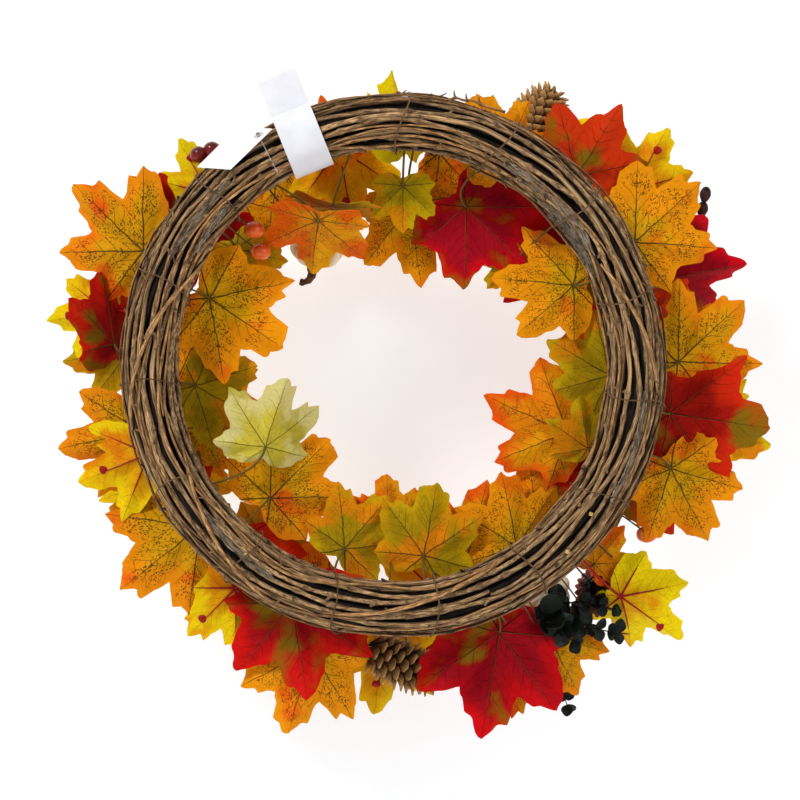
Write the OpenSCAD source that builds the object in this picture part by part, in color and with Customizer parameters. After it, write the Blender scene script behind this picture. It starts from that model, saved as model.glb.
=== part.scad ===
// Harvest door wreath: a grapevine ring with silk maple leaves, pine cones, pumpkins and berries.
// The wreath hangs in the XZ plane, +Z up, leafy front towards -Y, back (door side) towards +Y.
// The origin is the top of the ring's inside, where a hook or nail carries it.
// "right" and "clock" are read from the back: right is -X, clock 0 is the top and runs clockwise.

/* [Vine ring] */
// Outer diameter of the vine ring
ring_outer_d = 457; // [450:1:464]
// Thickness of the vine bundle
bundle_d = 48; // [47:0.5:49]
// Thickness of one wound cane
cane_d = 6; // [5:0.1:6]

/* [Leaves] */
// Thickness of a stiffened fabric leaf blade
blade_t = 0.8; // [0.6:0.1:1]
// Thickness of a plastic leaf stem
leaf_stem_d = 2.4; // [1.6:0.1:3]

/* [Label and tag] */
// Width of the paper sleeve round the ring
sleeve_w = 34; // [26:1:36]
// Thickness of the paper sleeve
sleeve_t = 0.5; // [0.4:0.1:0.8]
// Thickness of the hang tag
tag_t = 0.5; // [0.4:0.1:0.6]

/* [Hidden] */
$fn = 32;

// ---- Ring geometry ----
ring_r = ring_outer_d / 2 - bundle_d / 2;
ring_z = -(ring_r - bundle_d / 2);
cane_gap = 0.3;
cane_orbit = bundle_d / 2 - cane_d / 2;
core_r = cane_orbit - cane_d / 2 - cane_gap;
cane_count = 16;
vine_count = 4;
turns_per_vine = cane_count / vine_count;
front_gap = 70; // degrees of the bundle's front left open for the stems
cane_pitch = (360 - front_gap) / cane_count;
thin_r = 1.2;
thin_orbit = 24.4;
proud_r = 1.2;
proud_orbit = 25.7;
tie_r = 0.7;
tie_orbit = 26.5;

// ---- Sleeve, tag and fastener ----
sleeve_clock = -22;
sleeve_inner_r = 27.9;
sleeve_flag = 31;
sleeve_flag_y = 8;
keep_clear = 9.5; // degrees each side of the sleeve that stems stay out of
tag_hole = [-112.4, 191.5];
tag_y = 29;
tag_hole_r = 2;
tag_outline = [[12, 5], [-23, -29], [-51, -27], [-17, 7]];
filament_r = 0.45;
fastener_clock = -31;
fastener_valley = 5.5;
fastener_ring_r = 2.35;

// ---- Leaf outlines: [degrees from the midrib, distance from the stem joint] for a midrib of 1 ----
pointed_half = [[0, 1], [7, 0.84], [14, 0.84], [17, 0.66], [25, 0.52], [31, 0.66], [34, 0.82], [40, 0.80],
    [46, 0.93], [52, 0.79], [60, 0.77], [65, 0.58], [76, 0.45], [86, 0.54], [96, 0.68], [106, 0.53],
    [118, 0.52], [132, 0.36], [152, 0.24], [168, 0.15]];
broad_half = [[0, 1], [8, 0.86], [15, 0.83], [21, 0.66], [27, 0.61], [35, 0.76], [40, 0.82],
    [47, 0.95], [54, 0.83], [62, 0.78], [70, 0.62], [80, 0.54], [92, 0.64], [101, 0.73], [112, 0.60],
    [126, 0.52], [146, 0.33], [166, 0.19]];

// ---- Leaves: [right, up, distance in front of the ring's mid-plane, heading, midrib, lift, roll] ----
// heading is where the tip points, lift turns the tip to the back, roll turns the right edge to the front.
function front_leaf(clock, radius, ahead, turn, midrib, lift, roll) =
    [radius * sin(clock), radius * cos(clock), ahead, clock + turn, midrib, lift, roll];

gold_leaves_upper_right = [[100, 178, 42, 8, 42, 0, 0], [206, 106, 32, 48, 80, 6, 0], [245, 4, 48, 47, 76, 2, 0]];
gold_leaves_lower_right = [[240, 22, 60, 12, 56, 0, 0], [237, -88, 34, 152, 72, 4, 0], [133, -232, 50, 152, 60, 0, 0]];
gold_leaves_lower_left = [[-70, -243, 44, 196, 78, 0, 0], [-166, -138, 37, 232, 88, 6, 0]];
gold_leaves_left = [[-218, -56, 42, 258, 70, 4, 0], [-216, 52, 82, 296, 54, 0, 0], [-214, 98, 32, 314, 80, 6, 0]];
yellow_leaves_top = [[10, 194, 54, -8, 64, 0, 55], [-158, 148, 40, 330, 54, 0, 0]];
yellow_leaves_upper_right = [[207, 152, 52, 28, 62, 2, 0], [250, -56, 62, 98, 78, 0, 0]];
yellow_leaves_lower_right = [[194, -197, 32, 126, 68, 0, 0]];
yellow_leaves_bottom = [[-5, -232, 86, 190, 72, 0, 0], [-136, -191, 46, 225, 60, 2, 0]];
yellow_leaves_left = [[-205, -108, 60, 238, 50, 0, 0], [-209, -75, 30, 248, 64, 0, 0], [-248, 47, 60, 262, 52, 0, 0]];
red_leaves_upper_right = [[157, 163, 36, 32, 70, 4, 0], [231, 74, 64, 76, 74, 0, 35], [222, 46, 50, 50, 44, 0, 0]];
red_leaves_right = [[237, -41, 40, 98, 90, 4, 0]];
red_leaves_bottom = [[91, -228, 38, 190, 90, 6, 0], [60, -222, 97, 272, 80, 0, 0]];
red_leaves_lower_left = [[-86, -201, 32, 172, 84, 6, 0], [-180, -107, 52, 282, 60, 0, 0]];
red_leaves_left = [[-240, 19, 40, 352, 66, 0, 60], [-188, 118, 46, 345, 50, 0, 0]];
olive_leaves_outside = [[-232, 13, 78, 262, 56, 0, 0], [-176, 126, 56, 0, 40, 0, 0], [214, 70, 92, 90, 44, 0, 0]];
coral_leaves_outside = [[94, 178, 40, -22, 64, 0, 0], [-58, 184, 44, 355, 48, 0, 0],
    [106, -258, 60, 185, 48, 0, 0], [172, -170, 40, 40, 42, 0, 0]];

gold_leaves_inner_top = [[14, 140, 70, 172, 70, 4, 0], [154, 69, 32, 275, 70, 6, 0]];
gold_leaves_inner_left = [[-157, 58, 30, 124, 80, 6, 0], [-165, -55, 50, 110, 48, 0, 0], [-106, -113, 46, 46, 76, 6, 0]];
gold_leaves_inner_bottom = [[106, -155, 40, 348, 68, 4, 0], [123, -140, 50, 355, 66, 0, 0]];
olive_leaves_inner_top = [[8, 154, 32, 180, 42, 0, 0], [106, 93, 46, 225, 38, 0, 0], [-52, 136, 28, 188, 60, -80, 0]];
olive_leaves_inner_left = [[-136, 102, 58, 150, 50, 0, 0], [-170, -17, 38, 118, 64, 4, 0], [-42, -157, 48, 40, 62, 4, 0]];
olive_leaves_inner_right = [[26, -162, 34, 10, 66, 6, 0], [166, -70, 30, 350, 46, 20, 0], [186, -8, 42, 300, 62, 4, 0]];
coral_leaves_inner = [[-64, 123, 14, 190, 74, -55, 0], [149, -57, 38, 294, 76, 4, 0],
    [-3, -140, 52, 356, 50, 0, 0], [64, -164, 48, 14, 66, 0, 0]];
red_leaves_inner = [[62, 137, 44, 135, 76, 4, 0], [172, -92, 48, 272, 46, 0, 0]];
lime_leaf = [[-109, -69, 20, 16, 64, 12, 25]];

gold_leaves_front = [front_leaf(12, 192, 94, 78, 76, -8, 0), front_leaf(84, 212, 94, -35, 84, -6, 0),
    front_leaf(196, 206, 90, 25, 84, -8, 0), front_leaf(262, 200, 84, 170, 80, -6, 0),
    front_leaf(330, 204, 98, 172, 76, -6, 0)];
red_leaves_front = [front_leaf(58, 196, 72, 178, 82, -6, 0), front_leaf(112, 208, 86, 30, 86, -8, 0),
    front_leaf(222, 204, 76, -20, 84, -6, 0), front_leaf(300, 204, 88, 20, 84, -8, 0)];
yellow_leaves_front = [front_leaf(36, 212, 92, 10, 74, -10, 0), front_leaf(170, 198, 90, 190, 74, -8, 0),
    front_leaf(244, 212, 88, -40, 76, -8, 0), front_leaf(346, 196, 70, 184, 72, -8, 0)];
olive_leaves_front = [front_leaf(72, 204, 104, 60, 70, -10, 0), front_leaf(210, 204, 102, 120, 66, -8, 0),
    front_leaf(280, 204, 96, -60, 70, -10, 0)];
coral_leaves_front = [front_leaf(98, 196, 76, 186, 74, -6, 0), front_leaf(318, 198, 102, 150, 70, -8, 0)];

outer_leaves = concat(gold_leaves_upper_right, gold_leaves_lower_right, gold_leaves_lower_left, gold_leaves_left,
    yellow_leaves_top, yellow_leaves_upper_right, yellow_leaves_lower_right, yellow_leaves_bottom,
    yellow_leaves_left, red_leaves_upper_right, red_leaves_right, red_leaves_bottom, red_leaves_lower_left,
    red_leaves_left, olive_leaves_outside, coral_leaves_outside);
inner_leaves = concat(gold_leaves_inner_top, gold_leaves_inner_left, gold_leaves_inner_bottom,
    olive_leaves_inner_top, olive_leaves_inner_left, olive_leaves_inner_right, coral_leaves_inner,
    red_leaves_inner, lime_leaf);
front_leaves = concat(gold_leaves_front, red_leaves_front, yellow_leaves_front, olive_leaves_front,
    coral_leaves_front);

// ---- Decorations: [right, up, distance in front, heading, lift] ----
pinecone_top_at = [111, 202, 66, 40, 0];
pinecone_bottom_at = [-18, -246, 62, 115, 0];
pinecone_dark_at = [175, -190, 44, 150, -70];
pinecone_small_at = [205, -186, 60, 105, 0];
pumpkin_left_at = [-68, 103, 88, 195, -30];
pumpkin_right_at = [132, -195, 60, 180, -85];
rosehips_at = [[-165, 180, 16], [-154, 184, 16]];
seed_pods_at = [[228, 162, 60], [270, 150, 60], [267, 138, 62], [256, 128, 60]];
berries_at = [[218, -144, 50], [-119, 117, 30], [-114, 99, 40]];
sprig_low = [[140, -214, 46], [200, -232, 46]];
sprig_long = [[140, -225, 72], [152, -300, 72]];

// ---- Colours ----
gold = [0.93, 0.62, 0.14];
yellow = [0.98, 0.82, 0.12];
red = [0.80, 0.12, 0.08];
olive = [0.60, 0.58, 0.12];
coral = [0.95, 0.48, 0.30];
lime = [0.78, 0.78, 0.32];
bark = [0.36, 0.27, 0.20];

// ---- Helpers ----
// A point in the wreath's frame from [right, up, distance in front].
function point(p) = [-p[0], -p[2], ring_z + p[1]];

// The clock angle at which a stem enters the vines, kept out of the paper sleeve's travel.
function root_clock(p) =
    let (c = atan2(p[0], p[1]), off = c - sleeve_clock)
    abs(off) < keep_clear + 3 ? sleeve_clock + (off < 0 ? -1 : 1) * (keep_clear + 3.5) : c;

// Where a stem that starts at p ends, inside the open front of the vine bundle.
function root_point(p) =
    let (c = root_clock(p), reach = norm([p[0], p[1]]) - ring_r, r = ring_r + max(-6, min(6, reach / 5)))
    point([r * sin(c), r * cos(c), 8 + p[2] / 16]);

module stick(a, b, r) {
    run = b - a;
    translate(a)
        rotate([0, acos(run[2] / norm(run)), atan2(run[1], run[0])])
            cylinder(h = norm(run), r = r);
}

// Local frame on the bundle's centre line: x outwards, y to the back, z clockwise along the ring.
module at_clock(clock) {
    translate([0, 0, ring_z]) rotate([0, -90 - clock, 0]) translate([ring_r, 0, 0]) children();
}

// Local frame of a leaf or ornament: y along its heading, z to the back.
module aim(at, heading, lift, roll = 0) {
    translate(point(at)) rotate([90, 0, 180]) rotate([0, 0, -heading]) rotate([lift, 0, 0]) rotate([0, roll, 0])
        children();
}

// A hoop or part hoop that runs along the ring at a place in the bundle's section.
module hoop(orbit, turn, r, from = 0, sweep = 360) {
    translate([0, 0, ring_z]) rotate([90, 0, 0]) rotate([0, 0, 90 + from])
        rotate_extrude(angle = sweep, $fn = 180)
            translate([ring_r + orbit * sin(turn), -orbit * cos(turn)]) circle(r = r);
}

// Angle of a cane in the bundle's section, 0 at the back, positive outwards.
function cane_turn(k) = -180 + front_gap / 2 + cane_pitch * (k + 0.5);

// ---- Vine ring ----
module vine_core() color(bark) hoop(0, 0, core_r);

module vine(n) color(bark)
    for (k = [n * turns_per_vine : (n + 1) * turns_per_vine - 1]) hoop(cane_orbit, cane_turn(k), cane_d / 2);

module thin_canes() color([0.50, 0.38, 0.27]) {
    for (valley = [1.5, 8.5, 10.5, 13.5]) hoop(thin_orbit, cane_turn(valley), thin_r);
    hoop(proud_orbit, cane_turn(fastener_valley), proud_r, -43, 31);
}

module bark_strips() color([0.42, 0.38, 0.33]) {
    strip_t = 1.2;
    strip_w = 4.5;
    for (s = [[7, 34, 22], [7, -66, 30], [3, 46, 16], [12, -60, 26]])
        translate([0, 0, ring_z]) rotate([90, 0, 0]) rotate([0, 0, 90 + s[1]])
            rotate_extrude(angle = s[2], $fn = 180)
                translate([ring_r, 0]) rotate(-90 + cane_turn(s[0]))
                    translate([bundle_d / 2 + 0.1, -strip_w / 2]) square([strip_t, strip_w]);
}

module loose_twig() color([0.30, 0.22, 0.18]) {
    run = [[26, 214, -6], [52, 224.5, -6], [73, 220, -5], [94, 212.5, -4]];
    for (i = [0 : len(run) - 2]) stick(point(run[i]), point(run[i + 1]), 1.3);
    for (p = run) translate(point(p)) rotate([0, 90, 0]) cylinder(h = 4, r = 1.8, center = true);
}

module binding_ties() color([0.40, 0.28, 0.20])
    for (clock = [2 : 24 : 340])
        if (clock < 318 || clock > 350)
            at_clock(clock) rotate([0, 0, -50])
                rotate_extrude(angle = 290, $fn = 64) translate([tie_orbit, 0]) circle(r = tie_r);

// ---- Leaves ----
module blade(half, midrib) {
    right_side = [for (p = half) midrib * p[1] * [sin(p[0]), cos(p[0])]];
    left_side = [for (i = [len(half) - 1 : -1 : 1]) midrib * half[i][1] * [-sin(half[i][0]), cos(half[i][0])]];
    linear_extrude(blade_t, center = true) polygon(concat(right_side, left_side));
}

module leaves(rows, half, tint) color(tint)
    for (p = rows) aim(p, p[3], p[5], p[6]) blade(half, p[4]);

module leaf_stems(rows) color([0.45, 0.42, 0.14])
    for (p = rows) stick(point(p), root_point(p), leaf_stem_d / 2);

// ---- Pine cones ----
// Tiers of scales as flared rings from the base to the tip.
module pinecone(length, d, tiers = 7) {
    step = length / tiers;
    function girth(t) = d / 2 * sqrt(max(0.10, 1 - pow((t - 0.35) / 0.72, 2)));
    rim = [for (i = [0 : tiers - 1], part = [0, 1])
        [girth((i + 0.5) / tiers) * (part == 0 ? 0.74 : 1), step * (i + (part == 0 ? 0 : 0.8))]];
    rotate([-90, 0, 0]) rotate_extrude($fn = 48) polygon(concat([[0, 0]], rim, [[0, length]]));
}

module cone_at(at, length, d, tint) color(tint) aim(at, at[3], at[4]) pinecone(length, d);

// ---- Pumpkins ----
module pumpkin(d, ribs = 8) rotate([-90, 0, 0]) {
    rib_r = d * 0.27;
    for (i = [0 : ribs - 1]) rotate([0, 0, i * 360 / ribs]) translate([d / 2 - rib_r, 0, 0]) sphere(r = rib_r);
    cylinder(h = d * 0.42, r = d * 0.26, center = true);
}

module pumpkin_stem(d, length, bend) {
    base = d * 0.21 + 0.8;
    rotate([-90, 0, 0]) {
        translate([0, 0, base]) cylinder(h = length / 2, r = d * 0.08);
        translate([0, 0, base + length / 2 - 0.6]) rotate([0, bend, 0]) cylinder(h = length / 2, r = d * 0.055);
    }
}

// ---- Berries and sprigs ----
module fruits(places, r, tall, tint) color(tint)
    for (p = places) translate(point(p)) {
        sphere(r = r);
        if (tall > 0) translate([0, 0, -tall]) sphere(r = r * 0.7);
    }

module sprig_leaf(at, side, size) {
    aim(at, 90 + side * 70, 12) translate([0, size, 0]) cylinder(h = 1, r = size, center = true);
}

module eucalyptus_sprigs() color([0.10, 0.14, 0.11]) {
    leaf_r = 7;
    stick(point(sprig_low[0]), point(sprig_low[1]), 1);
    for (i = [0 : 4])
        sprig_leaf(sprig_low[0] + (sprig_low[1] - sprig_low[0]) * (i + 0.5) / 5, i % 2 == 0 ? 1 : -1, leaf_r);
    stick(point(sprig_long[0]), point(sprig_long[1]), 1);
    for (i = [3 : 5])
        sprig_leaf(sprig_long[0] + (sprig_long[1] - sprig_long[0]) * (i + 0.4) / 6, i % 2 == 0 ? 1 : -1, 5);
}

// ---- Wires that hold the ornaments in the vines ----
module pick_wires() color([0.25, 0.22, 0.16]) {
    held = concat([pinecone_top_at, pinecone_bottom_at, pinecone_dark_at, pinecone_small_at, pumpkin_left_at,
        pumpkin_right_at], rosehips_at, [seed_pods_at[0], seed_pods_at[3]], berries_at, [sprig_low[0], sprig_long[0]]);
    for (p = held) stick(point(p), root_point(p), 0.9);
    stick(point(seed_pods_at[0]), point(seed_pods_at[1]), 0.9);
    stick(point(seed_pods_at[3]), point(seed_pods_at[2]), 0.9);
}

module glue_dabs() color([0.85, 0.72, 0.35])
    for (g = [[127, 4], [137, 20], [218, -10], [75, 165], [165, 172], [250, 185]])
        at_clock(g[0]) rotate([0, 0, -g[1]]) translate([0, bundle_d / 2, 0]) sphere(r = 1.8);

// ---- Label and tag ----
module paper_sleeve() color("white") at_clock(sleeve_clock) {
    difference() {
        cylinder(h = sleeve_w, r = sleeve_inner_r + sleeve_t, center = true, $fn = 96);
        cylinder(h = sleeve_w + 1, r = sleeve_inner_r, center = true, $fn = 96);
    }
    translate([sqrt(pow(sleeve_inner_r, 2) - pow(sleeve_flag_y, 2)), sleeve_flag_y, -sleeve_w / 2])
        cube([sleeve_flag, 2 * sleeve_t, sleeve_w]);
}

module tag_fastener() color([0.85, 0.87, 0.88]) {
    valley = cane_turn(fastener_valley);
    anchor = [proud_orbit * sin(valley), proud_orbit * cos(valley), 0];
    across = [tag_hole[0], tag_hole[1]];
    hole_turn = atan2(across[0], across[1]) - fastener_clock;
    hole = [norm(across) * cos(hole_turn) - ring_r, tag_y - 1, norm(across) * sin(hole_turn)];
    at_clock(fastener_clock) {
        translate(anchor) rotate_extrude($fn = 48) translate([fastener_ring_r, 0]) circle(r = filament_r);
        translate(anchor + [0, fastener_ring_r + 0.5, -0.8]) cylinder(h = 1.6, r = 1.2);
        stick(anchor + [0, fastener_ring_r + 0.5, 0], hole, filament_r);
        translate(hole) sphere(r = filament_r + 0.15);
        stick(hole, hole + [0, 2.6, 0], filament_r - 0.05);
        translate(hole + [0, 2.6, -4]) cylinder(h = 8, r = 0.6);
    }
}

module hang_tag() color("white")
    translate([-tag_hole[0], tag_y + tag_t, ring_z + tag_hole[1]]) rotate([90, 0, 0]) mirror([1, 0, 0])
        linear_extrude(tag_t) difference() {
            polygon(tag_outline);
            circle(r = tag_hole_r);
        }

vine_core();
vine(0);  // vine_1
vine(1);  // vine_2
vine(2);  // vine_3
vine(3);  // vine_4
thin_canes();
bark_strips();
loose_twig();
binding_ties();
leaves(gold_leaves_upper_right, pointed_half, gold);
leaves(gold_leaves_lower_right, pointed_half, gold);
leaves(gold_leaves_lower_left, pointed_half, gold);
leaves(gold_leaves_left, pointed_half, gold);
leaves(yellow_leaves_top, pointed_half, yellow);
leaves(yellow_leaves_upper_right, pointed_half, yellow);
leaves(yellow_leaves_lower_right, pointed_half, yellow);
leaves(yellow_leaves_bottom, pointed_half, yellow);
leaves(yellow_leaves_left, pointed_half, yellow);
leaves(red_leaves_upper_right, broad_half, red);
leaves(red_leaves_right, broad_half, red);
leaves(red_leaves_bottom, broad_half, red);
leaves(red_leaves_lower_left, broad_half, red);
leaves(red_leaves_left, broad_half, red);
leaves(olive_leaves_outside, pointed_half, olive);
leaves(coral_leaves_outside, pointed_half, coral);
leaves(gold_leaves_inner_top, pointed_half, gold);
leaves(gold_leaves_inner_left, pointed_half, gold);
leaves(gold_leaves_inner_bottom, pointed_half, gold);
leaves(olive_leaves_inner_top, pointed_half, olive);
leaves(olive_leaves_inner_left, pointed_half, olive);
leaves(olive_leaves_inner_right, pointed_half, olive);
leaves(coral_leaves_inner, pointed_half, coral);
leaves(red_leaves_inner, broad_half, red);
leaves(lime_leaf, pointed_half, lime);
leaves(gold_leaves_front, pointed_half, gold);
leaves(red_leaves_front, broad_half, red);
leaves(yellow_leaves_front, pointed_half, yellow);
leaves(olive_leaves_front, pointed_half, olive);
leaves(coral_leaves_front, pointed_half, coral);
leaf_stems(outer_leaves);  // leaf_stems_outer
leaf_stems(inner_leaves);  // leaf_stems_inner
leaf_stems(front_leaves);  // leaf_stems_front
pick_wires();
cone_at(pinecone_top_at, 52, 42, [0.60, 0.38, 0.22]);  // pinecone_top
cone_at(pinecone_bottom_at, 70, 42, [0.45, 0.28, 0.14]);  // pinecone_bottom
cone_at(pinecone_dark_at, 50, 38, [0.16, 0.08, 0.05]);  // pinecone_dark
cone_at(pinecone_small_at, 32, 22, [0.48, 0.33, 0.20]);  // pinecone_small
color([0.86, 0.78, 0.64])  // pumpkin_left
    aim(pumpkin_left_at, pumpkin_left_at[3], pumpkin_left_at[4]) pumpkin(48);
color([0.25, 0.14, 0.08])  // pumpkin_left_stem
    aim(pumpkin_left_at, pumpkin_left_at[3], pumpkin_left_at[4]) pumpkin_stem(48, 26, 40);
color([0.90, 0.86, 0.78])  // pumpkin_right
    aim(pumpkin_right_at, pumpkin_right_at[3], pumpkin_right_at[4]) pumpkin(44);
color([0.25, 0.14, 0.08])  // pumpkin_right_stem
    aim(pumpkin_right_at, pumpkin_right_at[3], pumpkin_right_at[4]) pumpkin_stem(44, 22, 35);
fruits(rosehips_at, 5, 0, [0.45, 0.08, 0.06]);  // rosehips
fruits(seed_pods_at, 5, 5, [0.12, 0.04, 0.03]);  // seed_pods
fruits(berries_at, 6, 0, [0.75, 0.20, 0.05]);  // berries
eucalyptus_sprigs();
glue_dabs();
paper_sleeve();
tag_fastener();
hang_tag();
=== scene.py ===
# %% [markdown]
# # A harvest door wreath, seen from behind
# The wreath is a ring of dried vines with silk maple leaves, pine cones, two small pumpkins and berries
# pushed into its front. It is seen from the back, as on a glass door from indoors: the vines are nearest and
# the leaves stand out all round beyond them. The measured frame comes first, and every piece is then made
# in the frame's own metres, so nothing has to be fitted afterwards.
# %% Load the measured frame
import math
import bpy
import numpy as np
from mathutils import Matrix, Vector, noise


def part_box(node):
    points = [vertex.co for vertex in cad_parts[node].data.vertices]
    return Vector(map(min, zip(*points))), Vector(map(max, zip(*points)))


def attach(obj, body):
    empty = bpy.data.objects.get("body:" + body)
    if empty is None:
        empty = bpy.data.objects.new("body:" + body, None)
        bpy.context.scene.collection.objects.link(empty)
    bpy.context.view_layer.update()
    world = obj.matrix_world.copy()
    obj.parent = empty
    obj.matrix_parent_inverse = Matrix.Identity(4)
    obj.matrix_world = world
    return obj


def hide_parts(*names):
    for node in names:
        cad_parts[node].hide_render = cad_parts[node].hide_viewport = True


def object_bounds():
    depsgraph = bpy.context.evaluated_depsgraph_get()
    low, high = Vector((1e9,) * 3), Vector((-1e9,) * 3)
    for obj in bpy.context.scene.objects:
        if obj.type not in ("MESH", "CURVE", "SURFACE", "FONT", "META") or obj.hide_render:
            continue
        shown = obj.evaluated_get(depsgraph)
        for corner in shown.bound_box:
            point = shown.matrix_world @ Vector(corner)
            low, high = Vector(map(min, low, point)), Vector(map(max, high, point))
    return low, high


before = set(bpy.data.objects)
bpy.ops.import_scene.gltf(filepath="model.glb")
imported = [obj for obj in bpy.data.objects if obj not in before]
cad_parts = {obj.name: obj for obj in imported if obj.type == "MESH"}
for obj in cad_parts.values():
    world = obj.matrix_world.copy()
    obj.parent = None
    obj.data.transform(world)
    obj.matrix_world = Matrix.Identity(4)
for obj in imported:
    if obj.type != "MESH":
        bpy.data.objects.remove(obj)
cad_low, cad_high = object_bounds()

# %% [markdown]
# ## The ring's own measures
# Everything on a wreath is placed by two numbers: how far round the clock it is, and where it sits in the
# section of the vine bundle. Both start from the frame, so a change of the ring's size moves all of it.
# Seen from behind, the clock runs from the top to the right, which is towards -X.
# %% Measures of the ring
core_low, core_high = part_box("vine_core")
CORE_R = (core_high.y - core_low.y) / 2
RING_R = (core_high.x - core_low.x) / 2 - CORE_R
RING_Z = (core_high.z + core_low.z) / 2
BUNDLE_R = max(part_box(f"vine_{n}")[1].y for n in (1, 2, 3, 4))
CANE_R = 0.003
CANE_ORBIT = BUNDLE_R - CANE_R
SLEEVE_CLOCK, SLEEVE_PATH = -22.0, 11.0
print("ring radius %.4f, bundle radius %.4f, centre height %.4f" % (RING_R, BUNDLE_R, RING_Z))


# %% A place on the ring
def on_ring(clock, turn, orbit):
    """Clock and turn in degrees: turn 0 is the back of the bundle, 90 its outside, 180 its front."""
    clock, turn = np.radians(clock), np.radians(turn)
    reach = RING_R + orbit * np.sin(turn)
    across, up = -reach * np.sin(clock), reach * np.cos(clock)
    across, depth, up = np.broadcast_arrays(across, orbit * np.cos(turn), up)
    return np.stack([across, depth, RING_Z + up], -1)


def flat_place(right, up, ahead):
    """A point by its distance right of and above the ring's centre and in front of its mid-plane."""
    return np.array([-right, -ahead, RING_Z + up])


print("top of the ring's back:", on_ring(0, 0, BUNDLE_R).round(4))


# %% [markdown]
# ## Picking and placing by hand
# An operator acts on whatever is selected, and loading the frame leaves its nodes selected. So each step
# first clears the selection and then picks the one object it works on. A finished piece is parented to the
# body that carries it and takes its finish, and the measured nodes it stands for are hidden.
# %% Picking, and handing a piece over
def nothing_selected():
    for one in list(bpy.context.selected_objects):
        one.select_set(False)


def pick(*objects):
    nothing_selected()
    for one in objects:
        one.select_set(True)
    bpy.context.view_layer.objects.active = objects[0]
    return objects[0]


def made(name):
    """Names the object that an operator has just added."""
    piece = bpy.context.object
    piece.name = name
    piece.data.name = name
    return piece


def joined(name, *objects):
    pick(*objects)
    if len(objects) > 1:
        bpy.ops.object.join()
    return made(name)


def apply_modifiers(piece):
    pick(piece)
    for modifier in list(piece.modifiers):
        bpy.ops.object.modifier_apply(modifier=modifier.name)
    return piece


def smooth(piece, degrees=None):
    pick(piece)
    if degrees is None:
        bpy.ops.object.shade_smooth()
    else:
        bpy.ops.object.shade_smooth_by_angle(angle=math.radians(degrees))
    return piece


def points_of(piece):
    flat = np.empty(len(piece.data.vertices) * 3)
    piece.data.vertices.foreach_get("co", flat)
    return flat.reshape(-1, 3)


def move_points(piece, points):
    piece.data.vertices.foreach_set("co", np.asarray(points, float).ravel())
    piece.data.update()
    return piece


def copy_of(piece, name):
    """A second object with a mesh of its own."""
    twin = piece.copy()
    twin.data = piece.data.copy()
    twin.name = twin.data.name = name
    bpy.context.scene.collection.objects.link(twin)
    return twin


def mark(piece, label, values):
    """Stores one number per vertex under a name that the finishes can read."""
    layer = piece.data.attributes.get(label) or piece.data.attributes.new(label, "FLOAT", "POINT")
    layer.data.foreach_set("value", np.broadcast_to(values, len(piece.data.vertices)).astype(np.float32))
    return piece


def hand_over(piece, body, slot, finish, *nodes):
    piece.data.materials.clear()
    piece.data.materials.append(finish)
    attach(piece, body)
    if nodes:
        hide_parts(*nodes)
    return piece


nothing_selected()
print("selected now:", len(bpy.context.selected_objects))


# %% [markdown]
# ## Reading the measured solids
# A measured node may hold several solids, such as three leaves. Its mesh is loose triangles, so points that
# coincide are first counted as one, and each solid is then the set of points that triangles join together.
# %% Solids of a node
def solids(node):
    """The corner points of each separate solid of a node, as arrays."""
    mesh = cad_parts[node].data
    spots = points_of(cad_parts[node])
    unique, which = np.unique(spots.round(6), axis=0, return_inverse=True)
    which = which.ravel()
    ends = np.array([which[list(edge.vertices)] for edge in mesh.edges])
    label = np.arange(len(unique))
    while True:
        low = np.minimum(label[ends[:, 0]], label[ends[:, 1]])
        before = label.copy()
        np.minimum.at(label, ends[:, 0], low)
        np.minimum.at(label, ends[:, 1], low)
        label = label[label]
        if (label == before).all():
            break
    return [unique[label == one] for one in np.unique(label)]


def axes_of(points):
    """The mean of the points, and the three directions of a solid from its longest to its shortest."""
    middle = points.mean(0)
    _, _, directions = np.linalg.svd(points - middle, full_matrices=False)
    return middle, directions


print("solids in the upper right gold leaves:", len(solids("gold_leaves_upper_right")))


# %% [markdown]
# ## Wiring a finish
# A procedural finish is a tree of small nodes. Four short helpers keep each tree readable: one adds a node
# with its settings and wires, one does arithmetic, one turns a mask into colours, and one mixes two colours.
# Colours are written as six-digit paint codes and changed to the linear values that the renderer uses.
# %% Colours and node helpers
def tint(code):
    values = [int(code[i:i + 2], 16) / 255 for i in (1, 3, 5)]
    return tuple(v / 12.92 if v <= 0.04045 else ((v + 0.055) / 1.055) ** 2.4 for v in values) + (1.0,)


def put(tree, kind, *wires, **settings):
    """Adds a node. Each wire is a socket's name or number, and a value or another node's socket."""
    node = tree.nodes.new("ShaderNode" + kind)
    for setting, value in settings.items():
        setattr(node, setting, value)
    for socket, value in wires:
        if isinstance(value, bpy.types.NodeSocket):
            tree.links.new(value, node.inputs[socket])
        else:
            node.inputs[socket].default_value = value
    return node


def calc(tree, how, *values):
    return put(tree, "Math", *enumerate(values), operation=how).outputs[0]


def times(tree, *values):
    return calc(tree, "MULTIPLY", *values)


def plus(tree, *values):
    return calc(tree, "ADD", *values)


def minus(tree, *values):
    return calc(tree, "SUBTRACT", *values)


def room_place(tree):
    """The spot's place on the object, in metres."""
    return put(tree, "TexCoord").outputs["Object"]


def stored(tree, label):
    """A number that was marked on the piece's vertices."""
    return put(tree, "Attribute", attribute_name=label).outputs["Fac"]


def fade(tree, value, start, end, low=0.0, high=1.0):
    """A soft step: low below start, high above end."""
    return put(tree, "MapRange", ("Value", value), ("From Min", start), ("From Max", end), ("To Min", low),
               ("To Max", high), interpolation_type="SMOOTHSTEP").outputs[0]


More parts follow.
